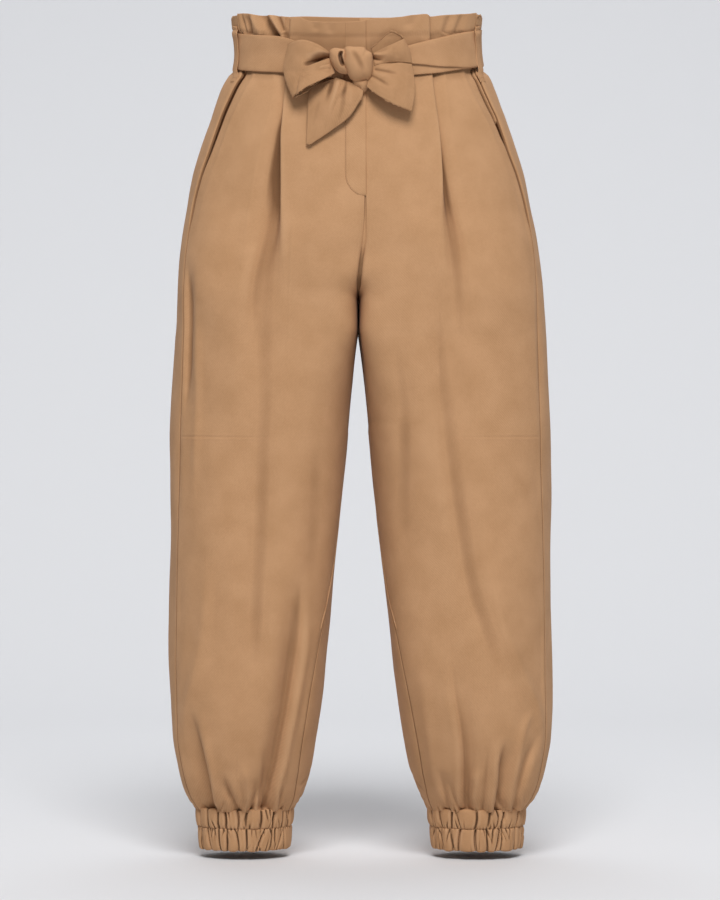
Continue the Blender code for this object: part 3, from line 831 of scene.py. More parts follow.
CREPE = Crepe()
DOUBLED = Crepe(name="doubled camel viscose crepe", light="#C1956E", dark="#B28761", blotch=26.0 * MM)
# a darker copy of the crepe for the cuffs: painted shade over the gathered cuffs, and deeper painted shade in
# their cracks
GATHERED = Crepe(
    name="gathered camel viscose crepe", light="#BE926B", dark="#AC815A", deep="#46301F", pebble=2.0 * MM
)
# a darker copy of the crepe for the bow: painted shade over the bow, and deeper painted shade in its creases
TIED = Crepe(
    name="tied camel viscose crepe", light="#B88D67", dark="#A87F5A", deep="#5A3C26", blotch=26.0 * MM
)
THREAD = Thread()


def dress(piece: bpy.types.Object, finish: Crepe | Thread, *nodes: str) -> bpy.types.Object:
    """Gives a piece its finish, its place on the body and the nodes that it stands for.

    Args:
        piece: The piece.
        finish: Its finish.
        nodes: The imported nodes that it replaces.

    Returns:
        The piece.
    """
    piece.data.materials.append(finish.material())
    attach(piece, "root")
    if nodes:
        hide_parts(*nodes)
    log.info("%s: %d points", piece.name, len(piece.data.vertices))
    return piece


# --- The trouser halves -------------------------------------------------------------------------------


class Pleat(NamedTuple):
    """The front pleat at one height.

    edge is the x of its folded edge from the middle, under how far the cloth turns back below the edge,
    spread the width of the opened pleat, depth how deep it lies, and open 0 for shut to 1 for open.
    """

    z: float
    edge: float
    under: float
    spread: float
    depth: float
    open: float


class Line(NamedTuple):
    """One line of a panel's lattice: lengths from the front seam and pushes."""

    s: Array
    push: Array


class Lattice:
    """The outer face of a panel, as rows of points that other pieces can be laid on."""

    def __init__(self, heights: Array, s: Array, push: Array) -> None:
        """Keeps the rows.

        Args:
            heights: Ring heights, going down.
            s: Lengths from the front seam, rows by columns.
            push: Pushes, rows by columns.
        """
        self.heights, self.s, self.push = heights, s, push

    def push_at(self, z: float, s: Array) -> Array:
        """The push of the cloth at ring height z and lengths s."""
        row = float(np.interp(-z, -self.heights, np.arange(len(self.heights))))
        upper, share = min(int(row), len(self.heights) - 2), row % 1.0
        ends = []
        for i in (upper, upper + 1):
            order = np.argsort(self.s[i])
            ends.append(np.interp(s, self.s[i][order], self.push[i][order]))
        return ends[0] + (ends[1] - ends[0]) * share


@dataclass(frozen=True)
class Half:
    """One half of the trousers: the front and back panels and the facing behind the pocket's mouth.

    rim and back_rim hold the height of the frill's top edge at places across. front and back hold the
    folds, whose places are seen from the front. strip is the width of the pleat's bottom where it shows above
    the belt, in millimetres. soften holds the heights between which the open pleat turns into a plain dip,
    and shut_below those between which the pocket's mouth closes. even_from and even_to hold those between
    which the columns spread out evenly. seam_gap is how far the cloth stops short of a seam, margin where
    the wider columns start, close_reach how far the close ones beside the centre seam go, pleat_fade how
    far the pleat's last push is felt, and tuck_share how much of the folds goes on behind the cuff.
    """

    side: Side
    seed: int
    pleat: tuple[Pleat, ...]
    front: tuple[Crease, ...]
    back: tuple[Crease, ...]
    rim: tuple[tuple[float, float], ...]
    back_rim: tuple[tuple[float, float], ...] = (
        (-0.1555, 0.0440), (-0.1530, 0.0468), (-0.1495, 0.0490), (-0.1400, 0.0505), (-0.110, 0.0550),
        (-0.060, 0.0594), (0.050, 0.0586), (0.105, 0.0550), (0.1350, 0.0502), (0.1400, 0.0502),
        (0.1435, 0.0487), (0.1465, 0.0445),
    )
    # height, and how far the front stops short of the side seam along the pocket's mouth
    gapes: tuple[tuple[float, float], ...] = (
        (0.0, 1.0 * MM), (-0.060, 1.4 * MM), (-0.100, 1.0 * MM), (-0.150, 0.4 * MM), (-0.215, 0.2 * MM),
    )
    shut_below: tuple[float, float] = (-0.150, -0.085)
    strip: float = 0.0
    soften: tuple[float, float] = (-0.165, -0.270)
    form: BodyForm = FORM
    wall: float = 0.9 * MM
    top: float = 0.0545
    hem: float = -0.8926
    squeeze_from: float = 0.0
    mouth_top: float = -0.0120
    mouth_bottom: float = -0.2150
    even_from: float = -0.640
    even_to: float = -0.800
    wall_columns: int = 26
    medial: int = 52
    across_pleat: int = 34
    outer: int = 62
    back_columns: int = 100
    facing_rows: int = 74
    seam_gap: float = 0.15 * MM
    margin: float = 5.2 * MM
    close_reach: float = 12.0 * MM
    pleat_fade: float = 14.0 * MM
    tuck_share: float = 0.55
    # where both halves press together at the fork, and where their cloth drops in between the legs
    fork_press: tuple[tuple[float, float], ...] = ((-0.130, -0.175), (-0.300, -0.345))
    fork_drop: tuple[tuple[float, float], ...] = ((-0.168, -0.262), (-0.310, -0.360))
    # the heights between which the seams' edges open, and how far from the middle the frill's gathers start
    rim_opens: tuple[float, float] = (0.026, 0.044)
    frill_gathers: tuple[float, float] = (0.072, 0.100)
    # length and height of the cloth's long waves and of its short ones
    long_waves: tuple[float, float] = (0.110, 0.9 * MM)
    short_waves: tuple[float, float] = (0.034, 0.10 * MM)
    # painted shade on the front beside the belt: how much darker it is, and where
    painted_belt_shade: float = 0.42
    belt_span: tuple[tuple[float, float], ...] = ((0.040, 0.018), (-0.015, -0.030))
    # the large gathers above the cuff, the fine ones between them, and those of the frill
    gathers: tuple[Gathers, ...] = (
        Gathers(-0.8926, 16.0 * MM, 4.6 * MM, 2.4 * MM, 62.0 * MM),
        Gathers(-0.8926, 8.0 * MM, 4.2 * MM, 1.1 * MM, 15.0 * MM),
        Gathers(0.0280, 15.0 * MM, 1.0 * MM, 2.2 * MM, 34.0 * MM),
    )
    # distance from the side seam, and the push of the facing there
    facing_section: tuple[tuple[float, float], ...] = (
        (2.0 * MM, -4.4 * MM), (0.6 * MM, -4.0 * MM), (-0.3 * MM, -3.0 * MM), (-0.9 * MM, -1.0 * MM),
        (-1.4 * MM, -0.2 * MM), (-1.9 * MM, -0.9 * MM), (-2.5 * MM, -4.2 * MM), (-3.6 * MM, -6.8 * MM),
        (-8.0 * MM, -7.0 * MM), (-14.0 * MM, -5.6 * MM), (-20.0 * MM, -3.4 * MM),
    )
    # upper end, lower end and step of the rows
    bands: tuple[tuple[float, float, float], ...] = (
        (0.0545, 0.030, 0.0010), (0.030, -0.030, 0.0028), (-0.030, -0.340, 0.0034),
        (-0.340, -0.446, 0.0078), (-0.446, -0.458, 0.0008), (-0.458, -0.620, 0.0078),
        (-0.620, -0.720, 0.0042), (-0.720, -0.8926, 0.0024),
    )
    # distance from a seam, and the push of the cloth that turns in there
    roll: tuple[tuple[float, float], ...] = (
        (0.0, -3.0 * MM), (0.15 * MM, -1.3 * MM), (0.5 * MM, -0.45 * MM), (1.2 * MM, -0.10 * MM),
        (2.6 * MM, 0.0),
    )
    # distance from the seam at the fork, and the push of the cloth that drops in there
    fork_roll: tuple[tuple[float, float], ...] = (
        (0.0, -5.0 * MM), (0.5 * MM, -3.6 * MM), (1.2 * MM, -2.2 * MM), (2.6 * MM, -0.8 * MM),
        (5.2 * MM, 0.0),
    )
    # distance from the front's edge along the pocket's mouth, and its push there
    mouth_dip: tuple[tuple[float, float], ...] = (
        (0.0, -5.0 * MM), (0.5 * MM, -3.9 * MM), (1.2 * MM, -3.2 * MM), (2.6 * MM, -2.6 * MM),
        (8.0 * MM, -1.8 * MM), (13.0 * MM, -1.0 * MM), (16.0 * MM, 0.0), (18.0 * MM, 0.35 * MM),
        (24.0 * MM, 0.0),
    )
    # distance from the back's edge along the pocket's mouth, and its push there
    welt: tuple[tuple[float, float], ...] = (
        (0.0, -3.0 * MM), (0.15 * MM, -1.2 * MM), (0.5 * MM, 0.0), (1.2 * MM, 0.9 * MM), (2.6 * MM, 1.5 * MM),
        (5.2 * MM, 1.4 * MM), (10.0 * MM, 0.4 * MM), (15.0 * MM, 0.0),
    )
    # how far below the hem's height, and how far inwards, the cloth goes behind the cuff's top
    tuck: tuple[tuple[float, float], ...] = (
        (0.5 * MM, -1.2 * MM), (0.9 * MM, -3.2 * MM), (0.6 * MM, -5.4 * MM), (0.2 * MM, -7.0 * MM),
    )

    def rows(self) -> Array:
        """Ring heights of the rows, going down."""
        made: list[float] = []
        for upper, lower, step in self.bands:
            made += list(np.linspace(upper, lower, max(round((upper - lower) / step), 1), endpoint=False))
        return np.array([*made, self.hem])

    def mouth(self, z: Array | float) -> Array:
        """1 along the pocket's mouth, fading to 0 at its ends."""
        low, high = self.mouth_bottom, self.mouth_top
        return within(z, (low, low + 30.0 * MM), (high - 4.0 * MM, high + 12.0 * MM))

    def centre_roll(self, z: float) -> float:
        """How much of the usual turn the middle seam has: little at the fork, where the halves press."""
        return (1 - 0.6 * float(within(z, *self.fork_press))) * self.rim_roll(z)

    def rim_roll(self, z: float) -> float:
        """How much of the usual turn a seam has near the rim, where its edges lie open and flat."""
        return 1 - 0.9 * float(smooth(z, *self.rim_opens))

    def gape(self, z: float) -> float:
        """How far the front stops short of the side seam along the pocket's mouth."""
        return float(follow(self.gapes, z)[0]) * float(self.mouth(z))

    def pleat_line(self, z: float) -> tuple[Line, float, float]:
        """The cloth across the pleat.

        Args:
            z: The ring height.

        Returns:
            The line, measured from the folded edge, and where it starts and ends.
        """
        edge, under, spread, depth, opened = follow(self.pleat, z)[0]
        u, s, d = under / MM, spread / MM, depth / MM
        k = d / 4.4
        shut = np.array([
            (-13, 0), (-4, 0.5), (-0.6, 0.5), (0.35, -0.5 * k), (-0.5, -2.6 * k), (-0.5 * u, -2.8 * k),
            (-u, -2.9 * k), (-u - 0.3, -3.05 * k), (-0.4 * u, -3.4 * k), (1, -3.4 * k), (8, -1.9 * k),
            (16, -0.5 * k),
        ])
        wide = np.array([
            (-13, 0), (-4, 0.4), (-0.6, 0.4), (0.02 * s, -0.2 * d), (0.05 * s, -0.55 * d),
            (0.11 * s, -0.85 * d), (0.22 * s, -d), (0.34 * s, -0.96 * d), (0.5 * s, -0.82 * d),
            (0.72 * s, -0.55 * d), (s + 2, -0.25 * d), (s + 14, -0.05 * d),
        ])
        recess = np.array([
            (-13, 0), (-4, 0.5), (-0.6, 0.5), (0.35, -0.5 * k), (-0.5, -2.6 * k), (-0.5 * u, -2.8 * k),
            (-u, -2.9 * k), (-u - 0.3, -3.05 * k), (-0.4 * u, -2.4 * k), (1, -2.0 * k),
            (self.strip, -1.8 * k), (self.strip + 0.8, 0.3),
        ])
        shut = shut + (recess - shut) * float(smooth(z, -0.020, 0.010)) * (self.strip > 0)
        spread_out = np.linspace(-13, s + 14, len(wide))
        soft = np.stack([spread_out, -d * np.exp(-(((spread_out - 0.42 * s) / (0.42 * s + 3)) ** 2))], axis=1)
        wide = wide + (soft - wide) * float(smooth(z, *self.soften))
        path = thread((shut + (wide - shut) * opened) * MM, self.across_pleat, even=True)
        return Line(path[:, 0], path[:, 1]), float(path[0, 0]), float(path[-1, 0])

    def offsets(self) -> Array:
        """Distances from a seam of the close columns beside it."""
        return np.array([distance for distance, _ in self.roll])

    def front_line(self, ring: Ring) -> Line:
        """The front's cloth at one height, before its folds."""
        z = ring.z
        pleat, first, last = self.pleat_line(z)
        edge = ring.s_at_x(self.side.value * float(follow(self.pleat, z)[0][0]))
        start, end = self.seam_gap, ring.side_seam - self.seam_gap - self.gape(z)
        corner = ring.s_at_x(ring.level.seam + self.side.value * self.close_reach)
        offsets = self.offsets()
        medial = np.concatenate([
            start + offsets,
            np.linspace(start + self.margin, corner, self.wall_columns),
            np.linspace(corner, edge + first, self.medial)[1:-1],
        ])
        outer = np.linspace(edge + last, end - self.margin, self.outer - 4)[1:]
        lateral = np.concatenate([outer, end - offsets[::-1]])
        s = np.concatenate([medial, edge + pleat.s, lateral])
        fade = np.exp(-(((lateral - edge - last) / self.pleat_fade) ** 2))
        push = np.concatenate([0 * medial, pleat.push, pleat.push[-1] * fade])
        inner = slice(len(offsets), -len(offsets))
        spaced = np.linspace(start + self.margin, end - self.margin, len(s[inner]))
        s[inner] += (spaced - s[inner]) * float(smooth(z, self.even_from, self.even_to))
        push += look_up(self.roll, s - start) * self.centre_roll(z)
        push += look_up(self.fork_roll, s - start) * float(within(z, *self.fork_drop))
        mouth = float(self.mouth(z)) * (0.3 + 0.7 * float(smooth(z, *self.shut_below)))
        turned = look_up(self.roll, end - s) * self.rim_roll(z)
        push += turned * (1 - mouth) + look_up(self.mouth_dip, end - s) * mouth
        return Line(s, push)

    def back_line(self, ring: Ring) -> Line:
        """The back's cloth at one height, before its folds."""
        offsets = self.offsets()
        start, end = ring.side_seam + self.seam_gap, ring.total - self.seam_gap
        middle = np.linspace(start + self.margin, end - self.margin, self.back_columns - 2 * len(offsets))
        s = np.concatenate([start + offsets, middle, end - offsets[::-1]])
        mouth = float(self.mouth(ring.z))
        push = look_up(self.roll, end - s) * self.centre_roll(ring.z)
        push += look_up(self.roll, s - start) * self.rim_roll(ring.z) * (1 - mouth)
        push += look_up(self.welt, s - start) * mouth
        return Line(s, push)

    def settle(self, face: Face, x: Array, z: Array) -> Array:
        """Heights of the cloth once its top edge is let down to the rim.

        Args:
            face: Which panel.
            x: Places across.
            z: Heights of the plain form.

        Returns:
            The settled heights.
        """
        ring = self.form.ring(self.side, self.top)
        front = ring.along < ring.side_seam
        pick = front if face is Face.FRONT else ~front
        line = ring.points[pick]
        line = line[np.argsort(line[:, 0])]
        high = np.interp(x, line[:, 0], line[:, 2])
        rim = follow(self.rim if face is Face.FRONT else self.back_rim, x.reshape(-1)).reshape(x.shape)
        start = self.squeeze_from
        steep = (high - start) / (rim - start)
        share = np.maximum(z - start, 0) / (high - start)
        return np.where(z > start, start + (rim - start) * (steep * share + (1 - steep) * share**2), z)

    def let_down(self, point: Array) -> Array:
        """A point on the front, with its height settled."""
        return np.array([*point[:2], *self.settle(Face.FRONT, point[:1], point[2:])])

    def drape(self, face: Face, base: Array, s: Array, height: Array, from_side: Array, edge: Array) -> Array:
        """How far folds, waves and gathers move a panel's cloth outwards.

        Args:
            face: Which panel.
            base: The points of the plain form, rows by columns.
            s: Lengths from the front seam.
            height: Ring heights.
            from_side: Lengths from the side seam.
            edge: Distances to the panel's nearer edge.

        Returns:
            A push for each point.
        """
        inside = smooth(edge, 0.0, 10.0 * MM)
        creases = self.front if face is Face.FRONT else self.back
        folds = sum(crease.push(base[:, :, 0], base[:, :, 2]) for crease in creases)
        waves = undulation(self.seed, from_side, height, *self.long_waves) * smooth(height, 0.0, -0.12)
        waves += undulation(self.seed + 1, from_side, height, *self.short_waves)
        seed = self.seed + (2 if face is Face.FRONT else 9)
        low, fine, high = (made.push(seed + i, s, height) for i, made in enumerate(self.gathers))
        low = low * smooth(edge, 2.0 * MM, 16.0 * MM)
        high = high * smooth(np.abs(base[:, :, 0]), *self.frill_gathers)
        return (folds + waves + high) * inside + (low + fine) * smooth(edge, 0.0, 4.0 * MM)

    def crest(
        self, face: Face, push: Array, moved: Array, height: Array, from_side: Array, edge: Array
    ) -> Array:
        """How much painted highlight or painted shade a panel's cloth gets.

        Args:
            face: Which panel.
            push: Pushes before the folds, rows by columns.
            moved: Pushes with the folds.
            height: Ring heights.
            from_side: Lengths from the side seam.
            edge: Distances to the panel's nearer edge.

        Returns:
            Shares from -1 in a fold to 1 on a ridge.
        """
        # painted highlight on ridges, partly wear, and painted shade in folds
        made = 0.2 * crest_of(moved, 3) + 0.4 * crest_of(moved, 9, 2.6 * MM)
        # painted shade along the seams where the cloth turns in, less near the rim
        painted_seam_shade = -0.75 + 0.6 * smooth(height, 0.030, 0.048)
        made = np.where(edge < 0.7 * MM, painted_seam_shade, made * smooth(edge, 0.6 * MM, 4.0 * MM))
        # painted shade in the pocket's mouth, lighter where the mouth shuts
        near = (4.5 * MM, 2.4 * MM) if face is Face.FRONT else (1.4 * MM, 0.5 * MM)
        painted_mouth_shade = smooth(np.abs(from_side), *near) * self.mouth(height)
        painted_mouth_shade = painted_mouth_shade * (0.25 + 0.75 * smooth(height, *self.shut_below))
        made = made * (1 - painted_mouth_shade) - painted_mouth_shade
        if face is Face.FRONT:
            # painted shade on the front beside the belt
            made = made - self.painted_belt_shade * within(height, *self.belt_span)
            # painted shade in the open pleat's deep recess
            recess = smooth(push, -4.0 * MM, -9.5 * MM) * smooth(height, -0.212, -0.140)
            made = made - recess * smooth(edge, 10.0 * MM, 20.0 * MM)
        return made

    def panel(self, face: Face) -> tuple[bpy.types.Object, Lattice]:
        """Makes one panel.

        Args:
            face: Which panel.

        Returns:
            The piece and the lattice of its outer face.
        """
        heights = self.rows()
        rings = [self.form.ring(self.side, z) for z in heights]
        lines = [self.front_line(ring) if face is Face.FRONT else self.back_line(ring) for ring in rings]
        s = np.array([line.s for line in lines])
        push = np.array([line.push for line in lines])
        base = np.array([ring.at(row) for ring, row in zip(rings, s)])
        out = np.array([ring.outward(row) for ring, row in zip(rings, s)])
        height = np.repeat(heights[:, None], s.shape[1], axis=1)
        from_side = s - np.array([ring.side_seam for ring in rings])[:, None]
        edge = np.minimum(s - s[:, :1], s[:, -1:] - s)
        moved = push + self.drape(face, base, s, height, from_side, edge)
        points = base + out * moved[:, :, None]
        points[:, :, 2] = self.settle(face, points[:, :, 0], points[:, :, 2])
        for drop, tuck in self.tuck:
            row = base[-1] + out[-1] * (self.tuck_share * moved[-1] + tuck)[:, None]
            row[:, 2] = self.hem - drop
            points = np.concatenate([points, row[None]])
        further = np.arange(1, len(self.tuck) + 1)[:, None, None] * MM
        weave = np.stack([from_side, height], axis=2)
        weave = np.concatenate([weave, weave[-1:] - further * (0, 1)])
        crest = self.crest(face, push, moved, height, from_side, edge)
        crest = np.concatenate([crest] + [crest[-1:]] * len(self.tuck))
        name = f"{face.value}_panel_{self.side.word}"
        piece = grid_piece(name, points, weave, self.side is Side.RIGHT, wall=self.wall, crest=crest)
        return piece, Lattice(heights, s, moved)

    def facing(self) -> bpy.types.Object:
        """Makes the facing, the strip that shows inside the pocket's mouth."""
        along, full = np.transpose(self.facing_section)
        floor = full.min() + 0.2 * MM
        points, weave, crest = [], [], []
        for z in np.linspace(self.mouth_bottom - 8.0 * MM, self.mouth_top, self.facing_rows):
            ring = self.form.ring(self.side, z)
            s = ring.side_seam + along
            ridge = float(smooth(self.gape(z), 1.5 * MM, 3.0 * MM))
            push = np.minimum(full, floor + (full - floor) * ridge) - 0.2 * MM
            points.append(ring.at(s, push))
            weave.append(np.stack([s, np.full(len(s), z)], axis=1))
            # painted shade, darker where the facing lies deeper inside the mouth
            crest.append(-smooth(push, -0.8 * MM, -3.0 * MM))
        lattice, grid, shade = np.array(points), np.array(weave), np.array(crest)
        name = f"mouth_facing_{self.side.word}"
        return grid_piece(name, lattice, grid, self.side is Side.RIGHT, wall=0.8 * MM, crest=shade)


# --- Belt, carriers, fly and cuffs --------------------------------------------------------------------


@dataclass(frozen=True)
class Fly:
    """The fly's overlap: a doubled strip that lies over the centre seam, with a rounded lower corner."""

    left_x: float = 0.0066
    right_x: float = -0.0180
    top: float = 0.0548
    bottom: float = -0.1712
    corner: float = 0.0270
    step: float = 1.25 * MM
    # share across from the free edge, and the push there
    section: tuple[tuple[float, float], ...] = (
        (0.0, -0.2 * MM), (0.004, 0.7 * MM), (0.02, 1.35 * MM), (0.07, 1.6 * MM), (0.2, 1.45 * MM),
        (0.4, 1.2 * MM), (0.6, 0.95 * MM), (0.78, 0.7 * MM), (0.88, 0.5 * MM), (0.94, 0.15 * MM),
        (0.975, 0.35 * MM), (1.0, -0.2 * MM),
    )

    def right_edge(self, z: float) -> float:
        """The x of the strip's sewn edge at ring height z."""
        reach = min(max((z - self.bottom) / self.corner, 0.0), 1.0)
        curve = math.sqrt(1 - (1 - reach) ** 2)
        return self.left_x - (self.left_x - self.right_x) * (0.04 + 0.96 * curve)

    def place(self, half: Half, lattices: dict[Side, Lattice], x: float, z: float, lift: float) -> Array:
        """A place on the fronts.

        Args:
            half: Either half, for the rim.
            lattices: The front of each half.
            x: The place across.
            z: The ring height.
            lift: How far it stands off the fronts.

        Returns:
            The point.
        """
        pushes = []
        beside = {Side.RIGHT: -0.0200, Side.LEFT: 0.0085}
        for side, near in beside.items():
            ring = FORM.ring(side, z)
            pushes.append(float(lattices[side].push_at(z, np.array([ring.s_at_x(near)]))[0]))
        share = (x - beside[Side.RIGHT]) / (beside[Side.LEFT] - beside[Side.RIGHT])
        side = Side.LEFT if x > FORM.ring(Side.LEFT, z).level.seam else Side.RIGHT
        ring = FORM.ring(side, z)
        push = pushes[0] + (pushes[1] - pushes[0]) * share
        return half.let_down(ring.at(ring.s_at_x(x), push + lift)[0])

    def build(self, half: Half, lattices: dict[Side, Lattice]) -> bpy.types.Object:
        """Makes the strip on the fronts."""
        corner_top = self.bottom + self.corner
        rounding = (0.9, 0.8, 0.7, 0.6, 0.5, 0.4, 0.3, 0.2, 0.12, 0.05, 0.0)
        heights = [*np.arange(self.top, corner_top, -self.step)]
        heights += [self.bottom + self.corner * share for share in rounding]
        points, weave = [], []
        for z in heights:
            width = self.left_x - self.right_edge(z)
            flat = 0.15 + 0.85 * min(1.0, (z - self.bottom) / (3.5 * MM))
            across = [(self.left_x - width * share, lift * flat) for share, lift in self.section]
            points.append([self.place(half, lattices, x, z, lift) for x, lift in across])
            weave.append([(x, z) for x, _ in across])
        return grid_piece("fly_overlap", np.array(points), np.array(weave), True, wall=0.8 * MM)

    def curve(self, half: Half, lattices: dict[Side, Lattice]) -> Array:
        """The line of the thread just inside the strip's sewn edge."""
        rounding = (0.85, 0.7, 0.55, 0.4, 0.28, 0.18, 0.11, 0.07)
        heights = [*np.linspace(-0.060, self.bottom + self.corner, 50)]
        heights += [self.bottom + self.corner * share for share in rounding]
        inside, lift = 1.2 * MM, 0.75 * MM
        return np.array([self.place(half, lattices, self.right_edge(z) + inside, z, lift) for z in heights])


@dataclass(frozen=True)
class Belt:
    """The self-fabric belt, tied in front, with its long crease on the left front.

    pinch is how much of its height it loses at the knot, and drop how far it sinks there. climb is how much
    higher it lies at the left side. right_end and left_end are lengths from the front seam to its two ends.
    """

    height: float = 0.0440
    centre: float = 0.0085
    stand_off: float = 3.8 * MM
    knot_x: float = -0.0098
    pinch: float = 0.35
    drop: float = 0.0140
    climb: float = 0.0036
    right_end: float = 0.0245
    left_end: float = 0.0025
    columns: int = 220
    # share of the way from the top edge to the lower one, and push
    section: tuple[tuple[float, float], ...] = (
        (0.0, -1.0 * MM), (0.008, -0.3 * MM), (0.03, 0.1 * MM), (0.10, 0.2 * MM), (0.30, 0.1 * MM),
        (0.50, 0.0), (0.70, 0.1 * MM), (0.90, 0.2 * MM), (0.97, 0.1 * MM), (0.992, -0.3 * MM),
        (1.0, -1.0 * MM),
    )
    # share of the way across the upper layer, and push
    layer_section: tuple[tuple[float, float], ...] = (
        (0.0, 0.2 * MM), (0.02, 0.9 * MM), (0.06, 1.2 * MM), (0.2, 1.2 * MM), (0.4, 1.1 * MM),
        (0.6, 1.1 * MM), (0.8, 1.2 * MM), (0.92, 1.4 * MM), (0.97, 1.3 * MM), (0.992, 0.9 * MM),
        (1.0, 0.2 * MM),
    )
    # x on the left front, and how far the upper layer stands off at its fold
    layer_lift: tuple[tuple[float, float], ...] = (
        (0.044, 2.2 * MM), (0.070, 1.6 * MM), (0.100, 0.9 * MM), (0.1345, 0.2 * MM),
    )
    # x on the left front, and the share of the way down at which the upper layer ends
    fold: tuple[tuple[float, float], ...] = (
        (0.035, 0.50), (0.0545, 0.61), (0.070, 0.70), (0.0855, 0.795), (0.107, 0.90), (0.125, 0.985),
        (0.150, 1.0),
    )

    def squash(self, side: Side, s: float) -> float:
        """How much the belt is drawn together towards the knot, from 0 to 1."""
        level = FORM.ring(side, self.centre)
        away = abs(level.at(s)[0, 0] - self.knot_x)
        near, far = (0.015, 0.090) if side is Side.RIGHT else (0.0, 0.125)
        return 1 - float(smooth(away, near, far)) if s < level.side_seam else 0.0

    def climb_at(self, side: Side, s: float) -> float:
        """How much higher the belt lies near the left side seam."""
        level = FORM.ring(side, self.centre)
        if side is Side.RIGHT:
            return 0.0
        if s < level.side_seam:
            return self.climb * float(smooth(level.at(s)[0, 0], 0.085, 0.135))
        return self.climb * float(smooth(s - level.side_seam, 0.120, 0.0))

    def column(self, side: Side, s: float) -> tuple[Array, Array]:
        """One line down the belt.

        Args:
            side: The wearer's side.
            s: The length from the front seam.

        Returns:
            The points and their lengths down the belt.
        """
        squash = self.squash(side, s)
        table = np.array(self.section)
        ends = table[np.abs(table[:, 0] - 0.5) > 0.41, 0]
        down = np.sort(np.concatenate([ends, np.linspace(0.10, 0.90, 21)]))
        push = np.interp(down, *table.T)
        heights = self.centre + (0.5 - down) * self.height * (1 - self.pinch * squash) - self.drop * squash
        near_side = float(smooth(abs(s - FORM.ring(side, self.centre).side_seam), 0.030, 0.0))
        rise = self.climb_at(side, s)
        points = []
        for z, out in zip(heights, push):
            ring = FORM.ring(side, round(float(z), 4))
            drawn_in = 2.2 * MM * near_side * float(smooth(z, 0.012, 0.030))
            point = ring.at(s, self.stand_off + out - drawn_in)[0]
            point[2] += z - ring.z + rise
            points.append(point)
        return np.array(points), down * self.height

    def build(self, creases: Sequence[Crease], seed: int) -> bpy.types.Object:
        """Makes the belt."""
        total = FORM.ring(Side.RIGHT, self.centre).total
        right = np.linspace(self.right_end, total, self.columns // 2)
        left = np.linspace(total, self.left_end, self.columns // 2)[1:]
        step = (total - self.right_end) / (self.columns / 2)
        made = [self.column(Side.RIGHT, float(s)) for s in right]
        made += [self.column(Side.LEFT, float(s)) for s in left]
        lattice = np.array([points for points, _ in made]).transpose(1, 0, 2)
        down = np.array([lengths_down for _, lengths_down in made]).T
        along = np.broadcast_to(step * np.arange(1, len(made) + 1), down.shape)
        on_front = lattice[:, :, 1] < 0.02
        folds = sum(crease.push(lattice[:, :, 0], lattice[:, :, 2]) for crease in creases) * on_front
        folds = folds + undulation(seed, along, -down, 0.080, 0.45 * MM)
        out = lattice * (1, 1, 0)
        out /= np.linalg.norm(out, axis=2)[:, :, None]
        lattice = lattice + out * folds[:, :, None]
        weave = np.stack([along, -down], axis=2)
        # painted shade in the belt's folds and painted highlight on their ridges
        return grid_piece("belt", lattice, weave, True, wall=1.3 * MM, crest=crest_of(folds.T, 3).T)

    def upper_layer(self) -> bpy.types.Object:
        """Makes the layer that the belt's long fold lays over its lower half on the left front."""
        ring = FORM.ring(Side.LEFT, self.centre)
        points, weave = [], []
        for x in np.linspace(self.layer_lift[0][0], self.layer_lift[-1][0], 70):
            s = ring.s_at_x(x)
            made, down = self.column(Side.LEFT, s)
            end = float(follow(self.fold, x)[0]) * self.height
            lift = float(follow(self.layer_lift, x)[0])
            row, spots = [], []
            for share, push in self.layer_section:
                spot = down[0] + (end - down[0]) * share
                place = read_line(np.array([spot]), down, made)[0]
                out = place * (1, 1, 0) / np.linalg.norm(place[:2])
                row.append(place + out * (lift * (0.35 + 0.65 * share) + push))
                spots.append((s, -spot))
            points.append(row)
            weave.append(spots)
        lattice, grid = (np.array(made).transpose(1, 0, 2) for made in (points, weave))
        return grid_piece("belt_upper_layer", lattice, grid, False, wall=1.1 * MM)


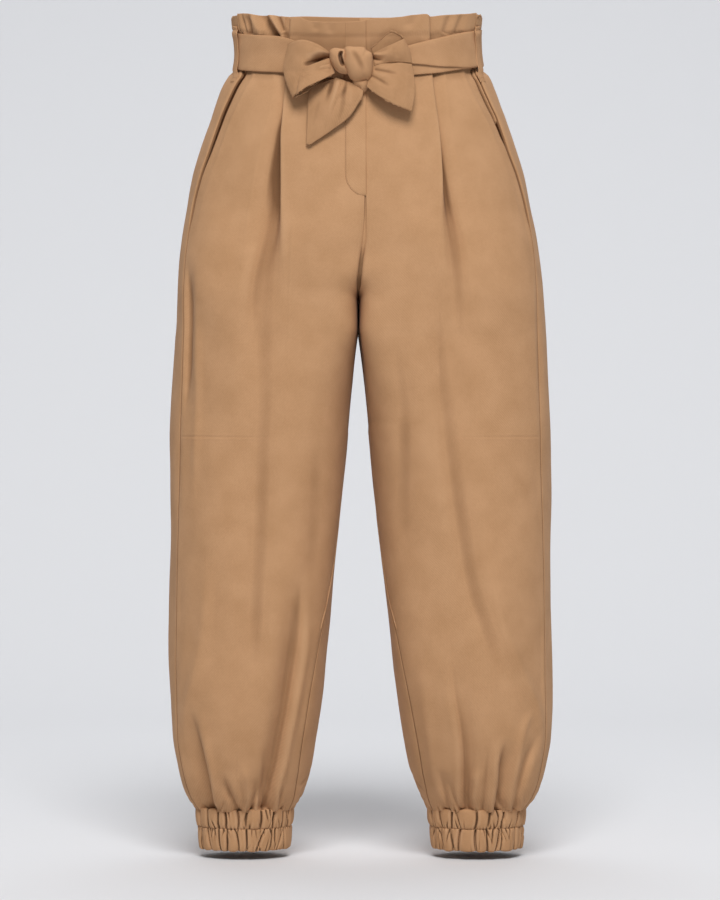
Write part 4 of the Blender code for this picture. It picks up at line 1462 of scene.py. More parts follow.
@dataclass(frozen=True)
class Carrier:
    """A belt carrier: a folded strap stitched along both edges, over the belt at the side seam.

    behind and behind_left are how far behind the side seam the right strap and the left one start. row_at
    is the share of the width from the middle at which its rows of stitches lie.
    """

    side: Side
    width: float = 0.0112
    behind: float = 0.0035
    behind_left: float = -0.0012
    cloth: float = 1.2 * MM
    row_at: float = 0.36
    # share of the width from the middle, and push
    section: tuple[tuple[float, float], ...] = (
        (-0.5, -0.8 * MM), (-0.49, -0.1 * MM), (-0.44, 0.05 * MM), (-0.36, -0.12 * MM), (-0.28, 0.05 * MM),
        (0.0, 0.0), (0.28, 0.05 * MM), (0.36, -0.12 * MM), (0.44, 0.05 * MM), (0.49, -0.1 * MM),
        (0.5, -0.8 * MM),
    )
    # height from the belt's middle, and how far it stands off the cloth
    drape: tuple[tuple[float, float], ...] = (
        (0.0305, 1.0 * MM), (0.0290, 1.8 * MM), (0.0262, 2.6 * MM), (0.0236, 5.4 * MM), (0.0205, 7.0 * MM),
        (0.0120, 6.4 * MM), (0.0, 6.2 * MM), (-0.0120, 6.3 * MM), (-0.0205, 6.8 * MM), (-0.0232, 6.4 * MM),
        (-0.0262, 4.2 * MM), (-0.0300, 2.4 * MM), (-0.0340, 1.7 * MM), (-0.0362, 1.2 * MM),
    )

    def point(self, z: float, across: float, push: float) -> Array:
        """A place over the side seam.

        Args:
            z: The height.
            across: Distance from the strap's middle, towards the back.
            push: Distance outwards.

        Returns:
            The point.
        """
        ring = FORM.ring(self.side, round(z, 4))
        behind = self.behind if self.side is Side.RIGHT else self.behind_left
        return ring.at(ring.side_seam + behind + self.width / 2 + across, push)[0]

    def build(self, centre: float) -> tuple[bpy.types.Object, bpy.types.Object]:
        """Makes the strap and its stitches, with centre the height of the belt's middle."""
        path = thread(self.drape, 64, even=True)
        points, weave = [], []
        for (height, push), down in zip(path, lengths(path)):
            points.append([self.point(centre + height, a * self.width, push + p) for a, p in self.section])
            weave.append([(a * self.width, -down) for a, _ in self.section])
        name = f"carrier_{self.side.word}"
        strap = grid_piece(name, np.array(points), np.array(weave), self.side is Side.RIGHT, wall=self.cloth)
        seams = []
        for edge in (-self.row_at, self.row_at):
            run = [self.point(centre + h, edge * self.width, p + 0.05 * MM) for h, p in path[3:-3]]
            seams.append(np.array(run))
        for height, push in (path[4], path[-6]):
            spots = np.linspace(-self.row_at, self.row_at, 6) * self.width
            seams.append(np.array([self.point(centre + height, a, push + 0.1 * MM) for a in spots]))
        return strap, stitches(f"carrier_stitches_{self.side.word}", seams, 2.6 * MM)


@dataclass(frozen=True)
class Cuff:
    """An elastic cuff: a doubled tube gathered over two channels, with a stitched line between them.

    pads and tucks are how many swellings and small tucks each channel has. line_at is the share of the way
    down at which the stitched line lies.
    """

    side: Side
    seed: int
    centre: float = 0.1378
    top: float = -0.8903
    hem: float = -0.9398
    columns: int = 720
    pads: int = 25
    tucks: int = 64
    line_at: float = 0.46
    # share of the way down, half-width and half-depth
    shape: tuple[tuple[float, float, float], ...] = (
        (0.0, 0.0573, 0.0500), (0.15, 0.0573, 0.0500), (0.34, 0.0566, 0.0493), (0.46, 0.0553, 0.0480),
        (0.60, 0.0548, 0.0475), (0.84, 0.0540, 0.0468), (1.0, 0.0528, 0.0456),
    )
    # share of the way down, and push, round the doubled cloth
    section: tuple[tuple[float, float], ...] = (
        (0.004, -2.4 * MM), (0.0, -1.2 * MM), (0.010, -0.2 * MM), (0.04, 0.4 * MM), (0.2, 0.6 * MM),
        (0.34, 0.5 * MM), (0.43, 0.2 * MM), (0.451, -0.4 * MM), (0.460, -0.9 * MM), (0.469, -0.4 * MM),
        (0.49, 0.2 * MM), (0.6, 0.5 * MM), (0.75, 0.6 * MM), (0.90, 0.5 * MM), (0.975, 0.2 * MM),
        (0.997, -0.6 * MM), (1.0, -1.9 * MM), (0.99, -2.9 * MM), (0.9, -3.4 * MM), (0.5, -3.8 * MM),
        (0.1, -3.6 * MM), (0.02, -3.2 * MM),
    )

    def pads_between(self, chance: np.random.Generator, cracks: Array, angle: Array) -> Array:
        """How far the cloth swells between the cracks.

        Args:
            chance: The source of its unevenness.
            cracks: Angles of the cracks, rising.
            angle: Angles of the columns.

        Returns:
            The swelling of each column, about 1 on a broad pad.
        """
        edges = np.concatenate([[cracks[-1] - FULL_TURN], cracks, [cracks[0] + FULL_TURN]])
        pick = np.clip(np.searchsorted(edges, angle) - 1, 0, self.pads)
        spread = edges[pick + 1] - edges[pick]
        across = 2 * (angle - edges[pick]) / spread - 1
        full = chance.uniform(0.4, 1.3, self.pads + 1)
        full[-1] = full[0]
        return (1 - np.abs(across) ** 2.2) * np.minimum(spread / 0.26, 1.3) * full[pick]

    def channel(
        self,
        chance: np.random.Generator,
        through: Array,
        angle: Array,
        share: Array,
        inside: Array,
        upper: bool,
    ) -> tuple[Array, Array]:
        """The cloth over one elastic: pads between deep cracks, and tucks that run in from the stitched line.

        Args:
            chance: The source of its unevenness.
            through: Angles near which both channels have their cracks.
            angle: Angles of the columns.
            share: Places of the rows down the channel, from -1 at its top to 1 at its foot.
            inside: How much each row belongs to the channel.
            upper: Whether it is the upper channel.

        Returns:
            A push for each row and column, and the swelling of each column.
        """
        cracks = np.sort((through + chance.normal(0, 0.02, self.pads)) % FULL_TURN)
        pad = self.pads_between(chance, cracks, angle)
        made = (1.9 * MM * pad[None, :] - 0.7 * MM) * inside[:, None]
        for at in cracks:
            depth = (1.2 + 6.8 * chance.uniform(0, 1) ** 1.2) * MM
            width = chance.uniform(0.008, 0.024)
            bend = chance.normal(0, 0.034, 2)
            fade = 1 - chance.uniform(0.2, 0.95) * smooth(share * chance.choice([-1, 1]), -0.2, 0.9)
            path = at + bend[0] * share + bend[1] * (share**2 - 0.5)
            made -= depth * (inside * fade)[:, None] * valley(angle, path, width)
        for at in chance.uniform(0, FULL_TURN, self.tucks):
            depth = (0.5 + 3.0 * chance.uniform(0, 1) ** 1.6) * MM
            width = chance.uniform(0.009, 0.026)
            slant = chance.normal(0, 0.055)
            to_seam = 1 if (chance.uniform(0, 1) < 0.65) == upper else -1
            fade = smooth(share * to_seam, chance.uniform(-0.9, 0.0), 0.95)
            made -= depth * (inside * fade)[:, None] * valley(angle, at + slant * share, width)
        return made, pad

    def build(self) -> tuple[bpy.types.Object, bpy.types.Object]:
        """Makes the cuff and the stitches round its middle."""
        chance = np.random.default_rng(self.seed)
        path = thread(self.section, 66, closed=True)
        down, push = path.T
        angle = np.linspace(0, FULL_TURN, self.columns, endpoint=False)
        outer = smooth(push, -3.0 * MM, -1.6 * MM)
        through = np.arange(self.pads) + chance.uniform(0.12, 0.88, self.pads)
        gathers = np.zeros((len(path), self.columns))
        swelling = []
        for start, end in ((0.0, self.line_at), (self.line_at, 1.0)):
            share = (2 * down - start - end) / (end - start)
            inside = within(down, (start - 0.02, start + 0.05), (end - 0.03, end + 0.02)) * outer
            spots = through * FULL_TURN / self.pads
            made, pad = self.channel(chance, spots, angle, share, inside, upper=start == 0.0)
            gathers += made
            swelling.append(pad - 0.6)
        pucker = 0.7 * MM * np.sin(angle * 79 + 3 * np.sin(angle * 7)) * (0.7 + 0.5 * np.sin(angle * 5))
        gathers += pucker[None, :] * (np.exp(-(((down - self.line_at) / 0.05) ** 2)) * outer)[:, None]
        half = follow(self.shape, np.clip(down, 0, 1))
        z = (self.top + (self.hem - self.top) * down)[:, None]
        z = z + 1.5 * MM * swelling[0][None, :] * smooth(down, 0.12, 0.0)[:, None]
        z = z - 1.3 * MM * swelling[1][None, :] * smooth(down, 0.88, 1.0)[:, None]
        width, depth = (half[:, i : i + 1] + push[:, None] + gathers for i in (0, 1))
        x = self.side.value * (self.centre + width * np.sin(angle))
        points = np.stack([x, -depth * np.cos(angle), z], axis=2)
        weave = np.stack(np.meshgrid(angle * 0.095, -lengths(path * (self.top - self.hem, 1))), axis=2)
        # painted shade in the cracks and tucks, painted highlight on the swollen pads
        crest = 1.25 * crest_of(np.tile(gathers, (1, 3)), 7)[:, self.columns : 2 * self.columns]
        name = f"elastic_cuff_{self.side.word}"
        piece = grid_piece(name, points, weave, True, tube=True, crest=crest)
        level = int(np.argmin(np.abs(down - self.line_at) + 10 * (outer < 0.9)))
        middle = np.array((self.side.value * self.centre, 0, self.top))
        loop = points[level] + (points[level] - middle) * (1, 1, 0) * 0.004
        line = np.concatenate([loop, loop[:1]])
        return piece, stitches(f"cuff_stitches_{self.side.word}", [line], 3.2 * MM)


def valley(angle: Array, path: Array, width: float) -> Array:
    """A valley down a tube, 1 deep.

    Args:
        angle: Angles of the columns.
        path: The angle of the valley's middle in each row.
        width: Its half-width, as an angle.

    Returns:
        How deep it is at each row and column.
    """
    turn = (angle[None, :] - path[:, None] + math.pi) % FULL_TURN - math.pi
    return np.exp(-((turn / width) ** 2))


def stitches(name: str, seams: Sequence[Array], pitch: float) -> bpy.types.Object:
    """Rows of short thread stitches.

    Args:
        name: The piece's name.
        seams: The lines that they run along.
        pitch: The length from one stitch to the next.

    Returns:
        One piece that holds them all.
    """
    thickness = 0.52 * MM
    bm = bmesh.new()
    for seam in seams:
        length = lengths(seam)
        count = max(int(length[-1] / pitch), 1)
        for i in range(count):
            spots = (i + np.array([0.1, 0.9])) * length[-1] / count
            first, last = (Vector(end) for end in read_line(spots, length, seam))
            turn = (last - first).to_track_quat("Z", "Y").to_matrix().to_4x4()
            size = Matrix.Diagonal((thickness / 2, thickness / 2, (last - first).length / 2, 1.0))
            place = Matrix.Translation((first + last) / 2) @ turn @ size
            bmesh.ops.create_uvsphere(bm, u_segments=6, v_segments=4, radius=1.0, matrix=place)
    mesh = bpy.data.meshes.new(name)
    bm.to_mesh(mesh)
    bm.free()
    return finish_piece(name, mesh)


# --- The bow ------------------------------------------------------------------------------------------


class Span(NamedTuple):
    """One line across the tied cloth, from its top edge to its lower one, in millimetres from the knot.

    lift is how far it stands in front of the trousers, swing how far its middle bends sideways, bulge how
    far its middle swells forwards and dent the depth of the crease that runs out of the knot.
    """

    x_top: float
    z_top: float
    lift_top: float
    x_low: float
    z_low: float
    lift_low: float
    swing: float = 0.0
    bulge: float = 0.0
    dent: float = 0.0


KNOT_X, KNOT_Z = -0.0098, -0.0190


@dataclass(frozen=True)
class TiedCloth:
    """A length of the tied belt: a loop of the bow, or one of its ends.

    outward is whether its outer face is the one that rising spans and shares turn to. front_share is the
    share of its length that lies in front, before a loop turns back. dent_at and dent_width are the place
    and the half-width of the spans' dents, as shares of the way down.
    """

    name: str
    spans: tuple[Span, ...]
    outward: bool
    creases: tuple[Crease, ...] = ()
    front_share: float = 1.0
    seed: int = 1
    wall: float = 1.3 * MM
    height: float = 44.0 * MM
    dent_at: float = 0.36
    dent_width: float = 0.14
    columns: int = 72
    rows: int = 40

    def shares(self) -> Array:
        """Shares of the way from the top edge to the lower one, closer together at both."""
        wave = np.cos(math.pi * np.linspace(0, 1, self.rows))
        share = 0.5 - 0.5 * wave * (0.6 + 0.4 * np.abs(wave))
        return ((share - share[0]) / (share[-1] - share[0]))[:, None]

    def build(self) -> bpy.types.Object:
        """Makes the cloth through its spans."""
        lines = thread(self.spans, self.columns).T * MM
        x_top, z_top, lift_top, x_low, z_low, lift_low, swing, bulge, dent = lines
        t = self.shares()
        arch = np.sin(math.pi * t)
        x = x_top + (x_low - x_top) * t + swing * arch
        z = z_top + (z_low - z_top) * t
        dented = dent * np.exp(-(((t - self.dent_at) / self.dent_width) ** 2))
        lift = lift_top + (lift_low - lift_top) * t + bulge * arch - dented
        along = np.linspace(0, 1, self.columns)[None, :] + 0 * t
        facing = smooth(along, self.front_share + 0.05, self.front_share - 0.05)
        push = sum((crease.push(x, z) for crease in self.creases), 0 * x) * facing
        edge = np.minimum(t, 1 - t)
        push = push - 0.9 * MM * np.exp(-((edge / 0.02) ** 2))
        push = push - 0.25 * MM * np.exp(-(((edge - 0.07) / 0.02) ** 2))
        push = push + undulation(self.seed, x, z, 0.022, 0.35 * MM)
        x, z = KNOT_X + x, KNOT_Z + z
        y = FORM.front_y(x.reshape(-1), z.reshape(-1)).reshape(x.shape)
        forward = np.where(along < self.front_share, 1.0, -1.0) if self.front_share < 1 else 1.0
        points = np.stack([x, y - lift - push * forward, z], axis=2)
        step = np.linalg.norm(np.diff(points, axis=1), axis=2).mean(axis=0)
        length = np.concatenate([[0.0], np.cumsum(step)])[None, :]
        weave = np.stack([length + 0 * t, 0 * length - self.height * t], axis=2)
        # painted shade in the creases and along the turned edges, painted highlight on ridges
        return grid_piece(self.name, points, weave, self.outward, wall=self.wall, crest=crest_of(push.T, 3).T)


@dataclass(frozen=True)
class Pillow:
    """A wrapped turn of the knot: a rounded pad inside an outline, seen from the front.

    outline holds places round its edge from the middle of the knot. lift is how far its middle stands off
    the trousers, and base how far its edge does.
    """

    name: str
    outline: tuple[tuple[float, float], ...]
    lift: float
    base: float
    creases: tuple[Crease, ...] = ()
    around: int = 96
    over: int = 64

    def build(self) -> bpy.types.Object:
        """Makes the pad."""
        edge = thread(self.outline, self.around, closed=True)
        middle = edge.mean(axis=0)
        bm = bmesh.new()
        bmesh.ops.create_uvsphere(bm, u_segments=self.around, v_segments=self.over, radius=1.0)
        mesh = bpy.data.meshes.new(self.name)
        bm.to_mesh(mesh)
        bm.free()
        ball = np.zeros(len(mesh.vertices) * 3, np.float32)
        mesh.vertices.foreach_get("co", ball)
        across, up, forward = ball.reshape(-1, 3).astype(float).T
        turn = (np.arctan2(up, across) % FULL_TURN) / FULL_TURN * self.around
        spot = read_line(turn, np.arange(self.around + 1), np.vstack([edge, edge[:1]]))
        spot = middle + (spot - middle) * np.hypot(across, up)[:, None]
        x, z = spot.T
        base_y = float(FORM.front_y(np.array([KNOT_X]), np.array([KNOT_Z]))[0])
        dome = np.sign(forward) * np.abs(forward) ** 0.9
        rise = np.where(dome > 0, (self.lift - self.base) * dome, 0.25 * self.base * dome)
        push = sum((crease.push(x, z) for crease in self.creases), 0 * x) * smooth(forward, 0.0, 0.3)
        points = np.stack([KNOT_X + x, base_y - self.base - rise - push, KNOT_Z + z], axis=1)
        # the creases' dents as painted shade in the knot's slits
        shape_mesh(mesh, points, spot, np.clip(push / MM, -1, 1))
        turn_outwards(mesh)
        return finish_piece(self.name, mesh)


BOW_RIGHT = TiedCloth(
    "loop_right",
    (
        Span(-26.2, 14.5, 17, -24.5, -12, 17, 0, 4, 7),
        Span(-40, 23.5, 21, -40, -20.5, 23, 0, 6, 5),
        Span(-55, 28.8, 22, -54.5, -26.5, 26, 0, 5, 2.5),
        Span(-66, 28.5, 20, -63.5, -34, 24, -4, 3, 1),
        Span(-74.2, 25.8, 15, -69, -38.5, 18, -8, 1.5),
        Span(-71.5, 24.5, 9.5, -66.5, -39, 12.5, -7),
        Span(-60, 24, 6.8, -54.5, -33, 10.5, -3),
        Span(-43, 20, 6.4, -40, -21.5, 8),
        Span(-27.5, 12.5, 8, -26.5, -8.5, 8),
    ),
    outward=True,
    front_share=0.5,
    seed=31,
    creases=(
        fold(12, (4.6, 4.4), (-22, 8), (-29, 6.6), (-36, 5), (-46, 1.6), (-60, -1.4), ends=(0.02, 0.6)),
        fold(-1.4, (2, 2.6), (-24, 4), (-33, 0.5), (-45, -4.5), (-52, -8), ends=(0.1, 0.4)),
        fold(0.9, (2, 2.4), (-54, -6), (-56, -14), (-57, -24), ends=(0.3, 0.3)),
        fold(1.2, (1.6, 3), (-24, 13), (-32, 17), (-42, 20), ends=(0.05, 0.7)),
    ),
)
LOOP_TURN = TiedCloth(
    "loop_right_turn",
    (
        Span(-22.5, 8.8, 16.5, -20, -10.7, 17.5),
        Span(-33, 4.7, 24, -31, -17.4, 25.5, 0, 1),
        Span(-44, 0.2, 29, -42, -23, 29, 0, 1),
        Span(-53, -3.5, 31, -53.5, -28.6, 30.2, 0, 0.5),
        Span(-59, -6, 29, -62.2, -34.5, 28),
        Span(-62.5, -8.5, 25.5, -65.5, -36.2, 21.5),
    ),
    outward=True,
    seed=35,
    creases=(fold(0.9, (2, 3.4), (-24, 1), (-34, -6), (-46, -12), ends=(0.05, 0.6)),),
)
BOW_LEFT = TiedCloth(
    "loop_left",
    (
        Span(24.9, 13, 17, 25.5, -2, 17.5, 0, -1),
        Span(37, 18.8, 20.5, 38, 1.2, 19, 0, 3),
        Span(48, 24, 20, 50, 2.5, 18.5, 1, 4),
        Span(57, 28.5, 16.5, 63, 2.5, 16.5, 2, 2.5),
        Span(59.5, 31.5, 12.5, 69.8, 1.8, 14, 2.5, 1),
        Span(57, 34.3, 8.5, 66, 1.5, 10, 2),
        Span(44.5, 39.3, 6.2, 52, 3, 7.8),
        Span(33, 30, 6.2, 38, 3, 7.2),
        Span(21.5, 19.5, 8.5, 27.5, 2, 8.5),
    ),
    outward=False,
    front_share=0.5,
    seed=32,
    creases=(
        fold(4, (2, 2.6), (23, 7.5), (29, 5.6), (38, 3.6), ends=(0.02, 0.7)),
        fold(-1.2, (1.8, 2.6), (24, 11.5), (33, 11), (44, 9), ends=(0.1, 0.5)),
        fold(1.2, (2.6, 3), (48, 21), (51, 13), (54, 6), ends=(0.3, 0.4)),
        fold(1, (1.8, 2.4), (26, 13), (40, 17), (50, 21), ends=(0.1, 0.6)),
    ),
)
TIE_RIGHT = TiedCloth(
    "tail_right",
    (
        Span(-19, -15, 10.5, 12.5, -26.2, 10.5, 0, 1),
        Span(-44, -24, 6.4, 12.5, -36.5, 11, 0, 4),
        Span(-50.9, -35, 6, 6.4, -48, 10.5, 0, 4.5),
        Span(-52, -53, 6, -4, -63, 9, 0, 3.5),
        Span(-52.6, -74, 5.5, -23.7, -78, 7, 0, 2),
        Span(-53.2, -93.5, 5, -49, -94.5, 5.5),
    ),
    outward=True,
    seed=33,
    creases=(
        fold(-1.6, (2.4, 4), (-15.3, -16), (-20, -34), (-27, -55), (-33, -73), ends=(0.1, 0.5), bank=0.4),
        fold(1.1, (3, 5), (-21, -14), (-26, -30), (-33, -48), ends=(0.05, 0.6)),
        fold(1.2, (2.6, 4), (-6, -17), (-9, -30), (-15, -44), ends=(0.05, 0.6)),
    ),
)
TIE_LEFT = TiedCloth(
    "tail_left",
    (
        Span(23.5, 4.5, 15, 16.8, -27, 15, 0, 1),
        Span(36, 3.5, 17.2, 29.5, -37.5, 19, 0, 4),
        Span(50, 3, 17.2, 48, -48, 21, 0.5, 4),
        Span(62, 2.5, 15.8, 59.5, -52.5, 20, 2, 3),
        Span(69.4, 1.8, 14, 68.8, -56, 17, 4, 1),
    ),
    outward=False,
    seed=34,
    creases=(
        fold(1.5, (2.2, 4), (22, -13), (34, -20), (48, -30), ends=(0.02, 0.6)),
        fold(1, (2, 3.5), (26, -6), (42, -9), (58, -12), ends=(0.02, 0.6)),
    ),
)
KNOT = (
    Pillow(
        "knot_turn_right",
        mm_path((-26, 15.6), (-20.9, 18.8), (-13.3, 18.1), (-7.7, 16.9), (-6, 10.7), (-6.5, 3), (-6.4, -5.7),
                (-4.6, -10.7), (-8.4, -11.7), (-14.7, -10), (-19.7, -5.7), (-24.8, 3), (-26.3, 9.5)),
        lift=0.0275, base=0.0165,
        creases=(
            fold(9, (1.5, 1.6), (-11, 15.5), (-13.2, 9), (-11.5, 2), (-9, -4), ends=(0.3, 0.3), bank=0.2),
        ),
    ),
    Pillow(
        "knot_turn_left",
        mm_path((-7.7, 19.4), (2.9, 20), (13.5, 19.4), (17.3, 15.6), (23, 11.9), (24.2, 3), (23.6, -10.7),
                (20.4, -18.2), (14, -19), (7, -21), (-0.8, -18.2), (-5.6, -10.7), (-9.6, -0.8), (-9.5, 9.4)),
        lift=0.0325, base=0.0185,
        creases=(
            fold(0.7, (3.4, 3.8), (-2, 18), (5, 8), (11, -3), (15, -13), ends=(0.3, 0.4)),
        ),
    ),
    Pillow(
        "knot_turn_low",
        mm_path((1, -17), (12, -17), (21, -16), (21, -23), (17, -30), (12, -33), (7, -28), (2, -24)),
        lift=0.0235, base=0.0130,
    ),
)


# --- Tables of folds ----------------------------------------------------------------------------------

WAIST_RIGHT = (
    fold(2.4, (1.2, 1.6), (-141, 60), (-140.5, 48), (-138.5, 38), (-135, 22), ends=(0.02, 0.1), bank=0.5),
    fold(4.2, (3.6, 3), (-133.5, 46), (-132.2, 40), (-129.6, 22), ends=(0.4, 0.1), bank=0.3),
    fold(-2.2, (3.2, 3), (-129, 50), (-128.3, 44), (-116.6, 18), ends=(0.3, 0.1)),
    fold(8.5, (4.6, 3.8), (-119.5, 58), (-117.8, 50), (-110, 36), (-103, 26), (-96, 16), ends=(0.4, 0.02),
        bank=0.4),
    fold(-2.8, (2.4, 2), (-107, 48), (-105, 42), (-97, 27), (-89, 14), ends=(0.2, 0.02)),
    fold(2.6, (2.4, 1.8), (-100, 50), (-95, 38), (-89.2, 22), ends=(0.3, 0.1)),
    fold(-1, (1.5, 2), (-102, 62), (-104.5, 52), (-112.6, 43), ends=(0.05, 0.5)),
    fold(1.1, (5, 5), (-60, 48), (-54, 36), (-52, 22), ends=(0.4, 0.3)),
    fold(0.9, (4, 5), (-34, 46), (-37, 34), (-34, 18), ends=(0.4, 0.3)),
)
WAIST_LEFT = (
    fold(2, (4.5, 4), (110, 52), (105, 40), (97.5, 20), ends=(0.4, 0.1), bank=-0.3),
    fold(1.8, (4, 3.6), (124, 50), (118, 38), (111, 20), ends=(0.4, 0.1), bank=-0.3),
    fold(1.2, (5, 5), (45, 50), (52, 36), (56, 22), ends=(0.4, 0.3)),
    fold(1, (4, 5), (68, 52), (64, 36), (56, 22), ends=(0.4, 0.3)),
)
FRONT_RIGHT = WAIST_RIGHT + (
    fold(0.32, (1.2, 1), (-230, -452), (-200, -451.5), (-150, -452.2), (-80, -452.5), ends=(0.05, 0.7),
        lip=0.5),
    fold(3.4, (10, 14), (-101.7, -300), (-106, -393), (-111.3, -472), (-113.5, -536), (-118, -631),
        (-120.5, -694), (-124, -770), ends=(0.45, 0.35)),
    fold(3, (6, 9), (-106, -185), (-117.5, -246), (-123, -283), (-126, -360), ends=(0.4, 0.5)),
    fold(7.5, (6, 5), (-202, -235), (-203.5, -290), (-205, -365), (-206, -440), ends=(0.3, 0.4), bank=-0.2),
    fold(-1.8, (4, 5), (-192, -280), (-191, -400), (-196, -560), ends=(0.3, 0.4)),
    fold(2, (11, 12), (-49.6, -390), (-52, -514), (-55.6, -605), (-70.7, -715), ends=(0.4, 0.4)),
    fold(13, (9, 6.5), (-71, -600), (-73, -680), (-78, -725), (-84, -765), (-91, -801), (-97, -835),
        (-105, -866), (-108, -894), ends=(0.45, 0.02), bank=0.6, lip=0.2),
    fold(2.6, (12, 13), (-120, -600), (-121, -690), (-126, -770), ends=(0.4, 0.5), bank=0.2),
    fold(-2.4, (9, 5), (-178, -560), (-182, -660), (-192, -725), (-206, -776), (-211.5, -830),
        ends=(0.4, 0.3)),
    fold(14, (10, 7.5), (-204, -760), (-197, -789), (-190.5, -820), (-184, -850), (-177, -894),
        ends=(0.65, 0.02), bank=0.6, lip=0.2),
    fold(4.6, (5, 3.2), (-162, -842), (-157, -862), (-150, -876), (-142, -894), ends=(0.5, 0.02), bank=0.3),
    fold(4, (4.4, 2.6), (-124, -850), (-122.5, -868), (-127, -880), (-129, -894), ends=(0.5, 0.02),
        bank=-0.3),
    fold(3.4, (6, 3.4), (-110, -800), (-111, -840), (-114, -866), (-118, -894), ends=(0.5, 0.02), bank=-0.5),
    fold(-2, (6, 4), (-150, -840), (-146, -865), (-137, -885), ends=(0.4, 0.2)),
    fold(-2.2, (6, 4), (-136, -830), (-133, -860), (-133, -885), ends=(0.4, 0.2)),
    fold(3, (3.6, 2.6), (-90, -860), (-96, -894), ends=(0.5, 0.02)),
)
FRONT_LEFT = WAIST_LEFT + (
    fold(0.26, (1.2, 1), (230, -452), (200, -451.7), (150, -452.2), (80, -452.5), ends=(0.05, 0.7), lip=0.5),
    fold(4.4, (11, 13), (78, -190), (90, -283), (95, -367), (106, -472), (119, -560), (131, -625),
        (146, -673), (159, -717), (168, -755), (170, -790), (166, -825), ends=(0.3, 0.3), bank=-0.1),
    fold(2.4, (10, 12), (37, -270), (43, -345), (51, -419), (51, -451), (50, -545), (53, -640),
        ends=(0.4, 0.4)),
    fold(-2.4, (9, 5), (150, -600), (163, -665), (178, -703), (195, -740), (208, -770), (215, -810),
        ends=(0.4, 0.2)),
    fold(10, (8, 5), (172, -800), (167, -830), (165, -860), (160, -894), ends=(0.45, 0.02), bank=-0.6,
        lip=0.2),
    fold(-2.2, (5, 4), (208, -776), (197, -781), (189, -801), (184, -830), (180, -866), ends=(0.2, 0.4)),
    fold(5, (5, 3.4), (212, -792), (203, -812), (193, -838), (186, -865), (182, -894), ends=(0.4, 0.02),
        bank=0.2),
    fold(9.5, (9, 6), (104, -670), (108, -715), (113, -755), (119, -790), (122, -830), (121, -894),
        ends=(0.9, 0.02), bank=-0.5, lip=0.15),
    fold(4, (5, 3), (91, -835), (97, -867), (101.5, -894), ends=(0.5, 0.02), bank=-0.3),
    fold(3.6, (6, 3.4), (150, -800), (146, -850), (143, -894), ends=(0.5, 0.02), bank=0.3),
    fold(-2.4, (6, 5), (136, -835), (133, -862), (130, -885), ends=(0.4, 0.2)),
    fold(-1.8, (8, 5), (68, -700), (80, -800), (90, -880), ends=(0.4, 0.2)),
)
BACK_RIGHT = (
    fold(2.8, (11, 14), (-110, -160), (-125, -330), (-130, -520), (-125, -700), ends=(0.4, 0.4)),
    fold(1.8, (10, 12), (-60, -340), (-66, -500), (-78, -660), ends=(0.4, 0.4)),
    fold(1.6, (10, 11), (-180, -260), (-186, -420), (-190, -560), ends=(0.4, 0.4)),
    fold(5.4, (8, 5), (-90, -690), (-98, -790), (-112, -894), ends=(0.4, 0.05)),
    fold(5, (7, 4.5), (-150, -740), (-148, -830), (-143, -894), ends=(0.4, 0.05)),
    fold(4.6, (6, 4), (-190, -760), (-183, -840), (-170, -894), ends=(0.4, 0.05)),
    fold(2.6, (6, 9), (-20, -235), (-60, -262), (-110, -275), ends=(0.2, 0.6)),
)
BACK_LEFT = (
    fold(2.6, (11, 14), (105, -150), (118, -310), (128, -500), (132, -690), ends=(0.4, 0.4)),
    fold(2, (10, 12), (58, -400), (70, -540), (80, -680), ends=(0.4, 0.4)),
    fold(1.8, (10, 11), (178, -370), (190, -520), (188, -660), ends=(0.4, 0.4)),
    fold(5, (8, 5), (95, -700), (104, -800), (116, -894), ends=(0.4, 0.05)),
    fold(5.4, (7, 4.5), (142, -720), (146, -820), (150, -894), ends=(0.4, 0.05)),
    fold(4.2, (6, 4), (194, -770), (184, -845), (172, -894), ends=(0.4, 0.05)),
    fold(2.4, (6, 9), (18, -238), (70, -268), (120, -285), ends=(0.2, 0.6)),
)
RIGHT_PLEAT = (
    Pleat(0.052, 0.0823, 0.012, 0.002, 0.0044, 0.00),
    Pleat(0.015, 0.0840, 0.012, 0.002, 0.0044, 0.00),
    Pleat(-0.030, 0.0870, 0.012, 0.002, 0.0044, 0.00),
    Pleat(-0.045, 0.0894, 0.011, 0.003, 0.0060, 0.12),
    Pleat(-0.068, 0.0909, 0.008, 0.006, 0.0090, 0.45),
    Pleat(-0.098, 0.0930, 0.005, 0.011, 0.0135, 0.85),
    Pleat(-0.150, 0.0930, 0.001, 0.020, 0.0175, 1.00),
    Pleat(-0.205, 0.0940, 0.000, 0.027, 0.0175, 1.00),
    Pleat(-0.260, 0.0960, 0.000, 0.030, 0.0120, 1.00),
    Pleat(-0.330, 0.0980, 0.000, 0.032, 0.0070, 1.00),
    Pleat(-0.450, 0.1040, 0.000, 0.036, 0.0030, 1.00),
    Pleat(-0.600, 0.1170, 0.000, 0.042, 0.0010, 1.00),
    Pleat(-0.720, 0.1220, 0.000, 0.042, 0.0000, 1.00),
)
